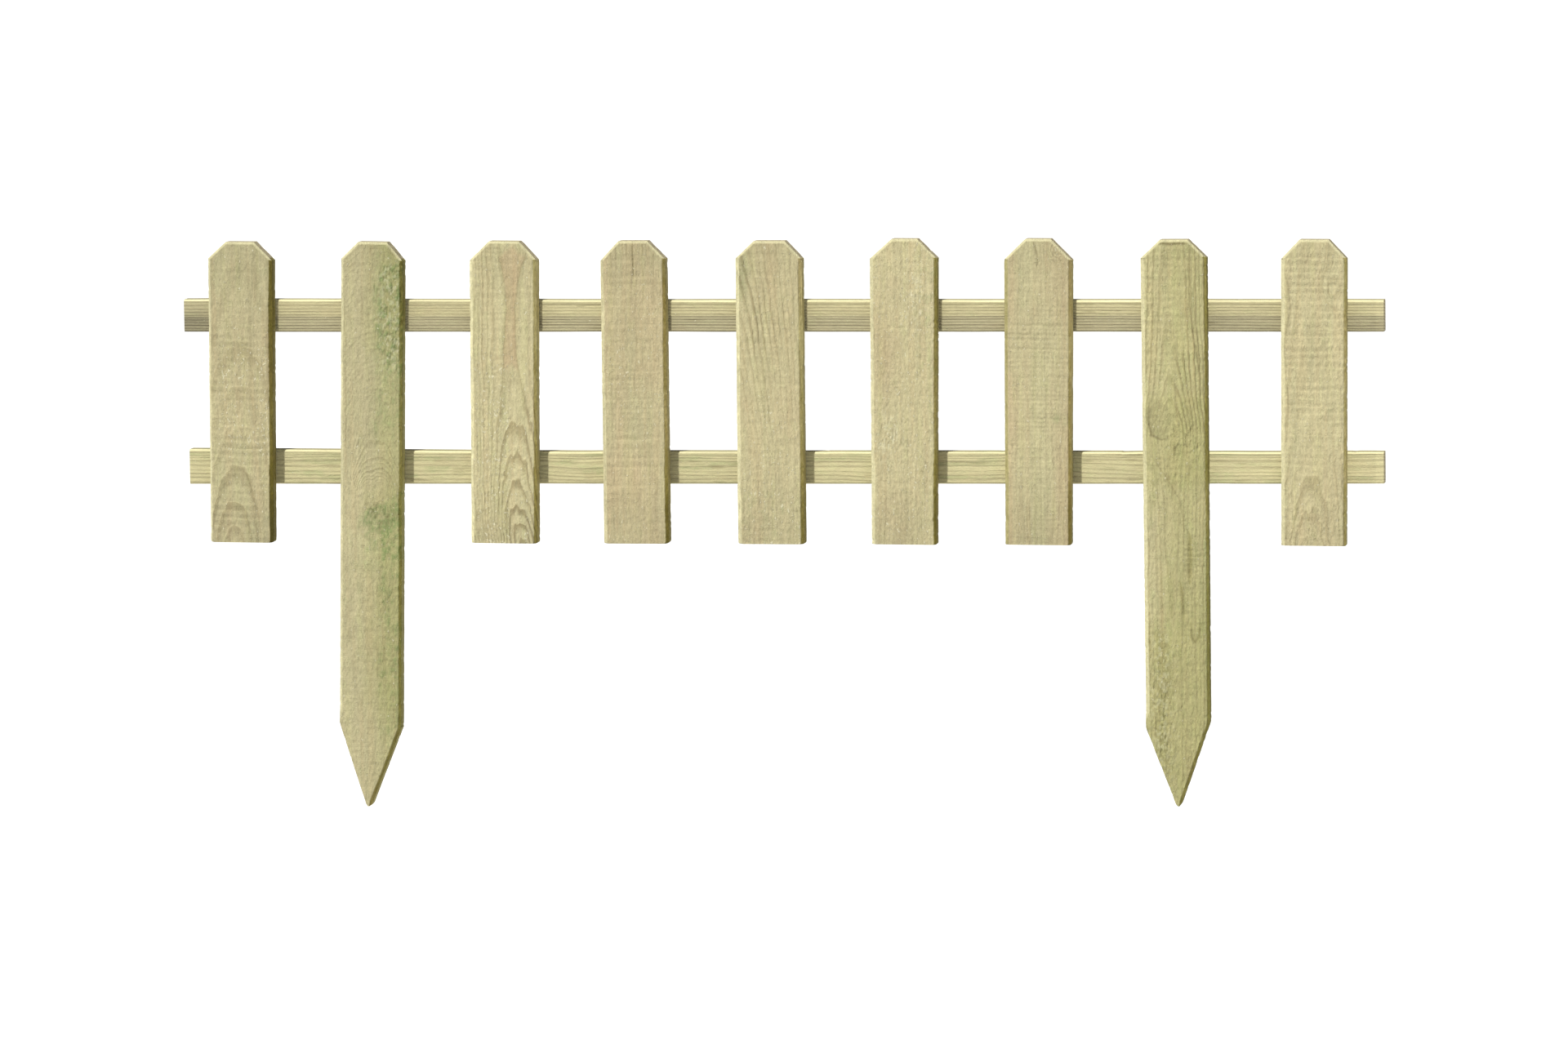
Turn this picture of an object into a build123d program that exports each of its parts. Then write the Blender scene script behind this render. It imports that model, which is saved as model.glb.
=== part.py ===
"""Garden edging fence panel: nine upright boards with clipped heads on two
horizontal rails. Two of the boards run on below the others and end in points,
so that the panel can be pushed into the ground.

Frame: millimetres, +X along the panel, +Y from the boards' front faces towards
the rails behind them, +Z up. The origin is on the left stake's front face, on
its centre line, at ground level (the feet of the short boards).
"""
from build123d import *
import os
from math import cos, radians, sin

os.makedirs("parts", exist_ok=True)

# ---------------------------------------------------------------- dimensions
BOARD_T = 18.0        # thickness of every upright board
SIDE_ARRIS = 3.5      # bevel on the front long edges of the boards
HEAD_ARRIS = 2.4      # bevel round the front of the clipped head
RAIL_T = 18.0         # thickness of both rails
RAIL_TOP_ARRIS = 2.0  # bevel on the rails' upper front edge
RAIL_LOW_ARRIS = 1.4  # smaller bevel on the other long edges of the rails

# Each board: x of its centre line at ground level, lean in degrees (positive
# leans its head towards +X), width at the foot and at the head, height of the
# head, and the width and height of the corner cut off at its left and right.
BOARDS = {
    "picket_1":    dict(x=-120.8, lean=0.58, foot_w=58.9, head_w=60.2, top=276.1, left=(16.5, 15.2), right=(17.0, 17.0)),
    "stake_left":  dict(x=0.0,    lean=1.15, foot_w=57.7, head_w=57.7, top=275.8, left=(15.8, 15.8), right=(14.6, 17.2)),
    "picket_3":    dict(x=124.5,  lean=0.57, foot_w=61.6, head_w=62.7, top=276.1, left=(18.2, 17.8), right=(16.0, 17.0)),
    "picket_4":    dict(x=247.1,  lean=0.04, foot_w=60.5, head_w=60.4, top=276.1, left=(17.0, 18.0), right=(16.3, 16.5)),
    "picket_5":    dict(x=371.7,  lean=0.15, foot_w=61.7, head_w=61.5, top=275.8, left=(17.2, 16.0), right=(15.6, 16.2)),
    "picket_6":    dict(x=493.9,  lean=0.45, foot_w=59.7, head_w=61.9, top=277.4, left=(20.2, 18.3), right=(18.0, 17.6)),
    "picket_7":    dict(x=616.6,  lean=0.48, foot_w=60.4, head_w=62.0, top=277.1, left=(19.6, 19.0), right=(19.2, 19.2)),
    "stake_right": dict(x=742.2,  lean=-0.09, foot_w=58.5, head_w=60.1, top=276.1, left=(17.7, 16.8), right=(16.8, 16.5)),
    "picket_9":    dict(x=866.6,  lean=0.43, foot_w=59.1, head_w=59.4, top=275.8, left=(16.7, 17.6), right=(16.2, 16.9)),
}

# The two stakes' points: the height at which the left and the right cut begin,
# the height of the tip, and how far the tip stands off the centre line.
POINTS = {
    "stake_left": dict(left=-165.5, right=-170.0, tip=-243.0, off=-1.0),
    "stake_right": dict(left=-165.0, right=-160.5, tip=-237.0, off=0.2),
}
TIP_HALF = 2.6        # half width of the blunted tip
TIP_RISE = 2.2        # height of the tip's two small facets

# Rails: corner points (x, z), with the small taper of each sawn piece.
TOP_RAIL = [(-175.4, 192.4), (929.7, 191.7), (929.7, 220.8), (186.0, 221.7), (-175.4, 222.8)]
BOTTOM_RAIL = [(-172.6, 52.2), (928.9, 54.5), (928.9, 83.7), (186.0, 83.0), (-172.6, 84.7)]


def board_plane(spec):
    """The front plane of a board, turned in its own plane by the lean."""
    lean = radians(spec["lean"])
    return Plane(origin=(spec["x"], 0, 0), x_dir=(cos(lean), 0, -sin(lean)), z_dir=(0, -1, 0))


def outline(spec, point=None):
    """The board's front outline, anticlockwise, in its own plane."""
    foot, head, top = spec["foot_w"] / 2, spec["head_w"] / 2, spec["top"]
    (lx, lz), (rx, rz) = spec["left"], spec["right"]
    if point is None:
        low = [(-foot, 0.0), (foot, 0.0)]
    else:
        tip, off = point["tip"], point["off"]
        low = [
            (-foot, point["left"]),
            (off - TIP_HALF, tip + TIP_RISE),
            (off - TIP_HALF / 3, tip),
            (off + TIP_HALF / 3, tip),
            (off + TIP_HALF, tip + TIP_RISE),
            (foot, point["right"]),
        ]
    return low + [(head, top - rz), (head - rx, top), (-head + lx, top), (-head, top - lz)]


def front_edges(part, where):
    """The edges of the front face whose middle satisfies where(centre)."""
    face = part.faces().sort_by(Axis.Y)[0]
    return [e for e in face.edges() if where(e.center())]


# ------------------------------------------------------- the upright boards
# Every board is one flat piece: its outline extruded to the rails, then the
# arris taken off the two long front edges and round the head.
finished = {}
for name, spec in BOARDS.items():
    point = POINTS.get(name)
    floor = 0.0 if point is None else max(point["left"], point["right"])
    with BuildPart() as board:
        with BuildSketch(board_plane(spec)):
            with BuildLine():
                Polyline(*outline(spec, point), close=True)
            make_face()
        extrude(amount=-BOARD_T)
        shoulder = spec["top"] - max(spec["left"][1], spec["right"][1]) - 2
        long_edges = front_edges(board.part, lambda c: floor + 4 < c.Z < shoulder)
        chamfer(long_edges, length=SIDE_ARRIS)
        head_edges = front_edges(board.part, lambda c: c.Z > shoulder)
        chamfer(head_edges, length=HEAD_ARRIS)
    board.part.label = name
    export_step(board.part, f"parts/{name}.step")
    finished[name] = board.part


# ---------------------------------------------------------------- the rails
def rail_edges(part, top, front):
    """The long edges of a rail at its top or bottom, front or back."""
    y = BOARD_T if front else BOARD_T + RAIL_T
    long_ones = [e for e in part.edges() if abs(e.center().Y - y) < 0.01 and e.length > 100]
    middle = sum(e.center().Z for e in long_ones) / len(long_ones)
    return [e for e in long_ones if (e.center().Z > middle) == top]


with BuildPart() as top_rail:
    with BuildSketch(Plane.XZ.offset(-BOARD_T)):
        with BuildLine():
            Polyline(*TOP_RAIL, close=True)
        make_face()
    extrude(amount=-RAIL_T)
    chamfer(rail_edges(top_rail.part, True, True), length=RAIL_TOP_ARRIS)
    chamfer(rail_edges(top_rail.part, False, True), length=RAIL_LOW_ARRIS)
    chamfer(rail_edges(top_rail.part, True, False), length=RAIL_LOW_ARRIS)
    chamfer(rail_edges(top_rail.part, False, False), length=RAIL_LOW_ARRIS)
top_rail.part.label = "top_rail"
export_step(top_rail.part, "parts/top_rail.step")

with BuildPart() as bottom_rail:
    with BuildSketch(Plane.XZ.offset(-BOARD_T)):
        with BuildLine():
            Polyline(*BOTTOM_RAIL, close=True)
        make_face()
    extrude(amount=-RAIL_T)
    chamfer(rail_edges(bottom_rail.part, True, True), length=RAIL_TOP_ARRIS)
    chamfer(rail_edges(bottom_rail.part, False, True), length=RAIL_LOW_ARRIS)
    chamfer(rail_edges(bottom_rail.part, True, False), length=RAIL_LOW_ARRIS)
    chamfer(rail_edges(bottom_rail.part, False, False), length=RAIL_LOW_ARRIS)
bottom_rail.part.label = "bottom_rail"
export_step(bottom_rail.part, "parts/bottom_rail.step")
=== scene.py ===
"""Looks of the garden edging fence panel: nine sawn boards on two rails.

Every board and rail is a closed mesh with its own sawn relief, grain, checks and
worn arrises, made from formulas. The grain is one function in three dimensions
for each piece, so that the lines on its faces, edges and ends belong together.
Lengths inside the helpers are millimetres; meshes are written in metres.
"""
import math

import bpy
import numpy as np
from mathutils import Matrix, Vector


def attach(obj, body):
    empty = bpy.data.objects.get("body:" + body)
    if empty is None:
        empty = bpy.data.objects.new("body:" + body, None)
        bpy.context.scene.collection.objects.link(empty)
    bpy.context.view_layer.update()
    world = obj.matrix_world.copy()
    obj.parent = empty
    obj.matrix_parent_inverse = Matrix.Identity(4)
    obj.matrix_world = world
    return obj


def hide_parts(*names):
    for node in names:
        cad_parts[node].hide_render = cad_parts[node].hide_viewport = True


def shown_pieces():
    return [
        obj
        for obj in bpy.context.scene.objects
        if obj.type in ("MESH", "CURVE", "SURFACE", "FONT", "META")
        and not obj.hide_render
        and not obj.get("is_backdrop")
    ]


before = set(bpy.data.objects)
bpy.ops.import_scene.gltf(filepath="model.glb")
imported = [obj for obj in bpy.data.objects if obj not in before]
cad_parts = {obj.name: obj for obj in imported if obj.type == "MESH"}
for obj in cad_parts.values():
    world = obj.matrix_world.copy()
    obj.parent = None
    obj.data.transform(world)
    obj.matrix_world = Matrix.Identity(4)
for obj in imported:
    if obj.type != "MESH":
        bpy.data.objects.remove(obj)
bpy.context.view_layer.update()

MM = 0.001

# ------------------------------------------------------------------ dimensions
BOARD_T = 18.0
RAIL_T = 18.0
HEAD_ARRIS = 2.4
SKIN = 0.48              # how deep the sawn surface lies behind the nominal face

BOARDS = {
    "picket_1":    dict(x=-120.8, lean=0.58, foot_w=58.9, head_w=60.2, top=276.1, left=(16.5, 15.2), right=(17.0, 17.0)),
    "stake_left":  dict(x=0.0,    lean=1.15, foot_w=57.7, head_w=57.7, top=275.8, left=(15.8, 15.8), right=(14.6, 17.2)),
    "picket_3":    dict(x=124.5,  lean=0.57, foot_w=61.6, head_w=62.7, top=276.1, left=(18.2, 17.8), right=(16.0, 17.0)),
    "picket_4":    dict(x=247.1,  lean=0.04, foot_w=60.5, head_w=60.4, top=276.1, left=(17.0, 18.0), right=(16.3, 16.5)),
    "picket_5":    dict(x=371.7,  lean=0.15, foot_w=61.7, head_w=61.5, top=275.8, left=(17.2, 16.0), right=(15.6, 16.2)),
    "picket_6":    dict(x=493.9,  lean=0.45, foot_w=59.7, head_w=61.9, top=277.4, left=(20.2, 18.3), right=(18.0, 17.6)),
    "picket_7":    dict(x=616.6,  lean=0.48, foot_w=60.4, head_w=62.0, top=277.1, left=(19.6, 19.0), right=(19.2, 19.2)),
    "stake_right": dict(x=742.2,  lean=-0.09, foot_w=58.5, head_w=60.1, top=276.1, left=(17.7, 16.8), right=(16.8, 16.5)),
    "picket_9":    dict(x=866.6,  lean=0.43, foot_w=59.1, head_w=59.4, top=275.8, left=(16.7, 17.6), right=(16.2, 16.9)),
}
POINTS = {
    "stake_left": dict(left=-165.5, right=-170.0, tip=-243.0, off=-1.0),
    "stake_right": dict(left=-165.0, right=-160.5, tip=-237.0, off=0.2),
}
TIP_HALF, TIP_RISE = 2.6, 2.2
RAILS = {
    "top_rail": dict(x0=-175.4, x1=929.7, low=((-175.4, 192.4), (929.7, 191.7)),
                     high=((-175.4, 222.8), (186.0, 221.7), (929.7, 220.8))),
    "bottom_rail": dict(x0=-172.6, x1=928.9, low=((-172.6, 52.2), (928.9, 54.5)),
                        high=((-172.6, 84.7), (186.0, 83.0), (928.9, 83.7))),
}

# How each board was sawn and kept: width of its left and right arris; radius of
# the foot's left and right corner; brightness of the face; brightness of the
# right arris and of the right edge, painted darker as shade on the side away from the lamp,
# at mid height, towards the foot and towards the head; how much darker, as painted shade,
# that edge's front half is near the head; brightness of the left arris; how chipped the edges are.
MAKE = {
    "picket_1":    dict(arris=(2.5, 3.4), foot=(2.2, 2.4), face=0.90, right=(0.46, 0.70), ends=(0.52, 0.84), inner=0.40, left=1.0, chips=0.5),
    "stake_left":  dict(arris=(3.0, 2.8), foot=(0, 0),    face=0.89, right=(0.70, 0.98), ends=(0.90, 0.84), inner=0.35, left=0.95, chips=0.5),
    "picket_3":    dict(arris=(3.6, 3.1), foot=(0.8, 1.8), face=1.01, right=(0.76, 0.98), ends=(0.74, 1.25), inner=0.0, left=1.07, chips=0.6),
    "picket_4":    dict(arris=(4.0, 3.0), foot=(1.4, 2.8), face=0.92, right=(0.76, 1.12), ends=(0.50, 0.90), inner=0.30, left=0.92, chips=0.5),
    "picket_5":    dict(arris=(4.0, 3.4), foot=(1.5, 2.0), face=0.98, right=(0.84, 0.86), ends=(0.62, 1.30), inner=0.0, left=1.04, chips=0.4),
    "picket_6":    dict(arris=(4.0, 2.7), foot=(0.8, 1.2), face=1.00, right=(0.66, 0.88), ends=(0.53, 0.90), inner=0.35, left=1.0, chips=0.7),
    "picket_7":    dict(arris=(4.0, 2.9), foot=(0.6, 0.9), face=0.97, right=(0.82, 1.12), ends=(0.62, 1.10), inner=0.0, left=0.61, chips=0.4),
    "stake_right": dict(arris=(4.0, 2.6), foot=(0, 0),     face=0.94, right=(0.70, 0.62), ends=(1.0, 1.0), inner=0.0, left=1.0, chips=0.5),
    "picket_9":    dict(arris=(4.0, 2.5), foot=(0.6, 0.8), face=1.00, right=(0.92, 1.18), ends=(0.88, 0.92), inner=0.0, left=1.0, chips=0.5),
}


# ----------------------------------------------------------------- noise tools
def lattice(i, j, k, seed):
    """A repeatable number from 0 to 1 for each whole-numbered point."""
    h = (i * 374761393 + j * 668265263 + k * 2147483647 + seed * 1274126177) & 0xFFFFFFFF
    h = ((h ^ (h >> 13)) * 1103515245) & 0xFFFFFFFF
    h = ((h ^ (h >> 16)) * 2246822519) & 0xFFFFFFFF
    return (h ^ (h >> 15)).astype(np.float64) / 4294967295.0


def noise(x, y, z=0.0, seed=0):
    """Smooth noise from -1 to 1, one unit between its lattice points."""
    x, y, z = np.broadcast_arrays(np.asarray(x, float), np.asarray(y, float), np.asarray(z, float))
    i, j, k = (np.floor(a).astype(np.int64) for a in (x, y, z))
    fx, fy, fz = x - i, y - j, z - k
    fx, fy, fz = (f * f * f * (f * (f * 6 - 15) + 10) for f in (fx, fy, fz))
    total = 0.0
    for di in (0, 1):
        for dj in (0, 1):
            for dk in (0, 1):
                weight = (fx if di else 1 - fx) * (fy if dj else 1 - fy) * (fz if dk else 1 - fz)
                total = total + weight * lattice(i + di, j + dj, k + dk, seed)
    return total * 2 - 1


def fbm(x, y, z=0.0, seed=0, octaves=3, gain=0.5):
    """Noise at several scales, each half the size of the one before."""
    total, size, weight, sum_w = 0.0, 1.0, 1.0, 0.0
    for n in range(octaves):
        total = total + weight * noise(x * size, y * size, z * size, seed + 17 * n)
        sum_w += weight
        size, weight = size * 2, weight * gain
    return total / sum_w


def ramp(x, a, b):
    """0 below a, 1 above b, smooth between; a may be above b."""
    t = np.clip((x - a) / (b - a), 0, 1)
    return t * t * (3 - 2 * t)


def spot(u, v, cu, cv, su, sv):
    """A soft round patch, 1 at its middle."""
    return np.exp(-(((u - cu) / su) ** 2 + ((v - cv) / sv) ** 2))


def band(x, a, b, soft):
    """1 between a and b, falling to 0 over the distance soft."""
    return ramp(x, a - soft, a) * (1 - ramp(x, b, b + soft))


def stroke(u, v, path, width=0.8, seed=0, wander=0.4):
    """A thin line along a path of (u, v) points, fading at both ends."""
    shift = wander * noise(u / 7.0, v / 7.0, seed=seed + 31)
    best = np.full(np.shape(u), 1e9)
    along = np.zeros(np.shape(u))
    total = sum(math.dist(a, b) for a, b in zip(path[:-1], path[1:]))
    run = 0.0
    for (au, av), (bu, bv) in zip(path[:-1], path[1:]):
        length = math.dist((au, av), (bu, bv))
        t = np.clip(((u - au) * (bu - au) + (v - av) * (bv - av)) / length ** 2, 0, 1)
        d = np.hypot(u + shift - au - t * (bu - au), v - av - t * (bv - av))
        nearer = d < best
        along = np.where(nearer, run + t * length, along)
        best = np.where(nearer, d, best)
        run += length
    ends = np.clip(np.minimum(along, total - along) / max(0.18 * total, 1.5), 0.25, 1)
    return np.exp(-((best / (width * (0.45 + 0.55 * ends))) ** 2)) * (0.35 + 0.65 * ends)


# -------------------------------------------------------------- board outlines
def outline(name):
    """Left and right edge of a board as functions of height, in its own plane."""
    s = BOARDS[name]
    foot, head, top = s["foot_w"] / 2, s["head_w"] / 2, s["top"]
    (lx, lz), (rx, rz) = s["left"], s["right"]
    if name in POINTS:
        p = POINTS[name]
        left = [(p["tip"], p["off"] - TIP_HALF / 3), (p["tip"] + TIP_RISE, p["off"] - TIP_HALF), (p["left"], -foot)]
        right = [(p["tip"], p["off"] + TIP_HALF / 3), (p["tip"] + TIP_RISE, p["off"] + TIP_HALF), (p["right"], foot)]
    else:
        left, right = [(0.0, -foot)], [(0.0, foot)]
    left += [(top - lz, -head), (top, -head + lx)]
    right += [(top - rz, head), (top, head - rx)]
    return left, right


# ------------------------------------------------- what each board's face shows
# Each entry fills in, for arrays u (mm from the board's centre line), v (height)
# and y (depth behind the front face):
#   phase: the growth rings, one whole number a ring
#   ring_deep: how strongly the rings stand out; saw: depth of the saw's marks
#   carve: further relief in mm, inwards; grit and rough: fine and coarse roughness
#   green, olive, pink, dark: stains and marks from 0 to 1
#   speck: how many small pale and dark specks; tone: brightness, 0 for none
MASKS = ("green", "olive", "pink", "dark", "speck", "rough", "tone", "ring_deep", "saw", "carve", "grit", "pale")


def cathedral(u, v, y, ua, s, heights, rings, depth=6.0, power=2.5):
    """Rings of a flat-sawn board: arches whose tops are at these heights, over
    legs that spread by s mm a ring. A higher power makes rounder tops."""
    g = np.maximum(np.interp(v, heights, rings) + y / depth, 0.15)
    return (np.abs((u - ua) / s) ** power + g ** power) ** (1 / power)


def sawn(u, v, pitch, slant, seed, drift=3.0, reach=1.0):
    """Marks of the saw across the board: ridges about pitch mm apart, uneven in
    depth and length, and never quite straight. A higher reach makes them longer."""
    w = v + slant * u + drift * fbm(v / 45.0, u / 70.0, seed=seed, octaves=2) + 0.5 * noise(u / 9.0, v / 6.0, seed=seed + 3)
    strength = 0.6 + 0.4 * noise(v / 23.0, u / 40.0, seed=seed + 5)
    a = w / pitch
    whole = np.floor(a).astype(np.int64)
    f = a - whole
    nought = np.zeros(np.shape(a), np.int64)
    each = lattice(whole, nought, nought, seed)
    middle = (lattice(whole, nought + 1, nought, seed) - 0.5) * 44
    half = (16 + 40 * lattice(whole, nought + 2, nought, seed)) * reach
    rise = ramp(f, 0.0, 0.20) * (1 - ramp(f, 0.26, 1.0))
    return rise * strength * (0.3 + 0.7 * each) * np.exp(-(((u - middle) / half) ** 2))


def saw_lines(u, v, heights, width=0.8, seed=0):
    """Single scratches of the saw, level across the board."""
    total = 0.0
    for n, h in enumerate(heights):
        wob = v - h + 0.5 * noise(u / 11.0, n * 3.7, seed=seed)
        here = ramp(noise(u / 15.0, n * 5.1, seed=seed + 1), -0.7, 0.4)
        total = total + np.exp(-((wob / width) ** 2)) * here
    return total


def face_picket_1(u, v, y, m):
    w = u + 1.5 * fbm(v / 26.0, u / 18.0, seed=101) + 0.5 * noise(v / 6.0, u / 7.0, seed=106)
    centre = np.interp(v, [0, 20, 60, 130, 276], [-7.5, -7.0, -4.2, -2.0, 2.0])
    m["phase"] = cathedral(w, v + 3.0 * noise(u / 7.0, v / 20.0, seed=102), y, centre, 6.0,
                           [0, 18.4, 43.3, 74.9, 112, 150, 170, 230, 276], [1.1, 2, 3, 4, 5, 6, 6.6, 7.5, 8.0])
    leg = stroke(u, v, [(-4.6, 77.1), (1.0, 69), (6.7, 60), (11.5, 42), (15.7, 26.2), (17.8, 7.5)], 1.1, 108)
    m["saw"] = 1.35 * sawn(u, v, 7.2, 0.03, 103, reach=1.7) * (0.55 + 0.45 * band(v, 30, 190, 30)) + 0.25 * sawn(u, v + 3, 5.1, 0.02, 113)
    m["carve"] = -0.22 * saw_lines(u, v, (187, 171, 152, 141, 133, 123, 115, 106, 97, 88, 79, 64, 59, 51, 37.6, 34.6, 25.7), 0.8, 107) * ramp(u, 26, 2) + 0.2 * leg
    m["pink"] = 0.28 * band(v, 20, 190, 50) * ramp(noise(u / 16.0, v / 60.0, seed=104), -0.5, 0.6)
    streak = band(u, 8, 25, 4) * band(v, 120, 262, 25) * ramp(noise(u / 3.2, v / 90.0, seed=109), -0.15, 0.5)
    m["dark"] = 0.34 * leg + 0.21 * streak + 0.22 * stroke(u, v, [(-26, 6), (-19, 12), (-9, 18), (-2, 12)], 1.0, 110)
    m["speck"] = 0.35 + 0.9 * band(v, 95, 175, 20) * band(u, -16, 22, 9) + 0.9 * spot(u, v, 21.5, 120, 4, 95) + 0.5 * spot(u, v, -2, 250, 20, 14)
    m["ring_deep"] = 0.48 + 0.60 * band(v, -20, 84, 30) + 0.30 * band(v, 140, 180, 14)
    m["tone"] = -0.07 * ramp(v, 225, 270) - 0.075 * ramp(v, 50, 0) - 0.05 * ramp(v, 50, 0) * ramp(u, 0, 25) + 0.05 * spot(u, v, 0, 105, 30, 40)
    m["green"] = 0.08 * ramp(noise(u / 9.0, v / 30.0, seed=105), 0.0, 0.7)


def face_stake_left(u, v, y, m):
    w = u + 0.8 * fbm(v / 24.0, u / 14.0, seed=201)
    domes = []
    for cu, cv in ((-1.5, 48.0), (9.5, 51.0)):          # rings that close over two small knots
        up = v - cv
        stretch = 1 + np.clip(up, 0, 70) / 34.0
        domes.append(np.hypot(w - cu, up / stretch))
    near = -1.6 * np.log(np.exp(-domes[0] / 1.6) + np.exp(-domes[1] / 1.6)) + 0.25 * y
    m["phase"] = 9 + (near + 0.7 * fbm(v / 14.0, u / 5.0, seed=202)) / 1.75
    m["saw"] = 0.55 * sawn(u, v, 9.5, -0.02, 203) + 0.45 * sawn(u, v, 5.6, -0.01, 213)
    mott = fbm(u / 4.2, v / 6.0, seed=204, octaves=4)
    wide = fbm(u / 12.0, v / 26.0, seed=208, octaves=3)
    upper = band(v, 112, 262, 30) * ramp(u + 5 * wide, -5, 10)
    strong = band(v, 172, 246, 22) * ramp(u + 7 * wide, 0, 15)
    under = v - (32 + 0.60 * u) + 3.5 * fbm(u / 6.0, v / 6.0, seed=211)
    low = ramp(under, 1.5, -3.0) * ramp(v, -42, 4) * ramp(u + 5 * wide, -20, 0) * (0.70 + 0.30 * ramp(under, -26, -4))
    side = band(v, -165, 20, 40) * ramp(u + 6 * wide, 2, 18)
    m["green"] = np.clip((0.35 + 0.95 * ramp(mott, -0.25, 0.45)) * (0.40 * upper + 0.70 * strong + 0.84 * low + 0.48 * side), 0, 1.0) \
        + 0.16 * band(v, 60, 165, 30) * ramp(u, -4, 18) + 0.14 * band(v, -120, -40, 30) * ramp(mott, 0.0, 0.5)
    m["olive"] = 0.35 * ramp(u + 4 * wide, -16, 2) + 0.42 * ramp(u + 5 * wide, 0, 18) - 0.25 * band(v, 60, 165, 25) - 0.22 * ramp(v, -140, -190)
    m["speck"] = 0.22 + 0.35 * strong + 0.7 * spot(u, v, 14, 30, 15, 22) + 0.15 * side
    m["rough"] = 1.0 * strong * ramp(mott, -0.3, 0.5) + 0.35 * upper + 1.2 * spot(u, v, 3, 33, 14, 13) + 0.35 * side + 0.4 * ramp(v, 10, -20) * ramp(mott, -0.1, 0.4) * ramp(u, -14, 6)
    m["grit"] = 0.3 + 1.2 * strong + 0.4 * upper + 0.8 * side + 1.0 * spot(u, v, 3, 33, 16, 14) + 0.3 * ramp(v, 10, -20)
    m["pale"] = 0.50 * strong * ramp(fbm(u / 2.2, v / 3.4, seed=212, octaves=2), 0.10, 0.45)
    m["dark"] = 0.40 * spot(u, v, 0.5, 34, 6, 8) * ramp(mott, 0.05, 0.5) \
        + 0.35 * stroke(u, v, [(-25.6, 236), (-24.2, 183), (-23.4, 120), (-23.8, 60)], 0.55, 205) \
        + 0.45 * ramp(mott, 0.15, 0.55) * spot(u, v, 10, 24, 15, 11)
    m["tone"] = 0.07 * stroke(u, v, [(-4.0, 46), (-4.3, 18.8), (-4.2, -30), (-4.0, -79)], 0.9, 206) \
        + 0.07 * stroke(u, v, [(4.6, -36), (5.0, -80), (4.4, -128)], 0.9, 209) - 0.04 * ramp(u, -14, 2) - 0.03 * ramp(v, 240, 276) \
        + 0.05 * band(v, 0, 60, 25) + 0.03 * ramp(v, -150, -190) + 0.09 * band(v, 95, 160, 25) * ramp(u, -2, 14) + 0.04 * band(v, -20, 34, 12) * ramp(u, -12, 0)
    m["carve"] = -0.12 * stroke(u, v, [(-4.0, 46), (-4.3, 18.8), (-4.2, -30), (-4.0, -79)], 0.9, 206)
    m["ring_deep"] = (0.20 + 0.52 * ramp(v, 46, 54) * ramp(v, 118, 70) * band(u, -14, 28, 6)) * ramp(near, 2.0, 6.0) * (0.25 + 0.75 * ramp(v, 40, 50))


def face_picket_3(u, v, y, m):
    w = u + 1.1 * fbm(v / 24.0, u / 16.0, seed=301) + 0.5 * noise(v / 5.0, u / 5.0, seed=305) * band(v, -10, 130, 30)
    centre = np.interp(v, [0, 20, 60, 116, 176, 276], [17.0, 14.0, 11.2, 9.4, 6.4, 8.6])
    heights, rings = [-16, 8, 22, 37, 60, 86, 117, 150, 205, 240, 276], [0.9, 2, 3, 4, 5, 6, 7, 7.6, 7.75, 7.7, 7.0]
    r = cathedral(w, v + 1.8 * noise(u / 3.5, v / 12.0, seed=302), y, centre, 2.9, heights, rings, power=2.9)
    g = np.interp(v, heights, rings)
    m["phase"] = r + 0.15 * noise(v / 18.0, u / 3.0, seed=306)
    m["saw"] = 0.75 * sawn(u, v, 8.0, 0.01, 303) + 0.5 * sawn(u, v, 4.6, 0.0, 313) * band(u, -28, -2, 8)
    half = np.interp(v, [125, 139, 165, 190, 212, 237, 252, 268], [12.5, 10.0, 6.6, 5.2, 4.2, 6.2, 9.4, 14.0]) + 0.7 * noise(v / 9.0, u / 30.0, seed=307)
    inside = (1 - ramp(np.abs(u - centre) - half, -0.8, 0.6)) * band(v + 0.8 * np.abs(u - centre), 168, 268, 7)
    border = np.exp(-((np.abs(u - centre) - half) / 0.7) ** 2) * band(v, 130, 262, 16)
    m["pink"] = 0.88 * inside + 0.05
    m["dark"] = 0.30 * border + 0.08 * inside
    m["speck"] = 0.35 + 1.0 * band(u, -24, 2, 8) * band(v, 0, 150, 40) + 0.7 * spot(u, v, 20, 20, 10, 40) + 0.8 * spot(u, v, 22, 258, 9, 12)
    m["ring_deep"] = 0.62 + (0.35 + 0.73 * ramp(u, -9, 1)) * band(v, -10, 118, 22) + 0.42 * ramp(u, -4, -16) * ramp(v, 120, 180)
    m["grit"] = 0.7 * spot(u, v, 20, 262, 11, 14) + 0.5 * band(v, -5, 60, 20)
    m["tone"] = 0.025 * band(v, 80, 200, 40) - 0.055 * ramp(v, 225, 270) * ramp(u, -25, -5) - 0.10 * ramp(v, 55, 0) - 0.02 * ramp(u, 0, 25) - 0.05 * ramp(v, 40, 0) * ramp(u, 0, 25) \
        + 0.05 * np.exp(-(((r - np.floor(r)) - 0.55) / 0.2) ** 2) * band(v, 0, 110, 20)
    m["green"] = 0.10 * ramp(noise(u / 9.0, v / 30.0, seed=304), 0.1, 0.8)


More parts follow.
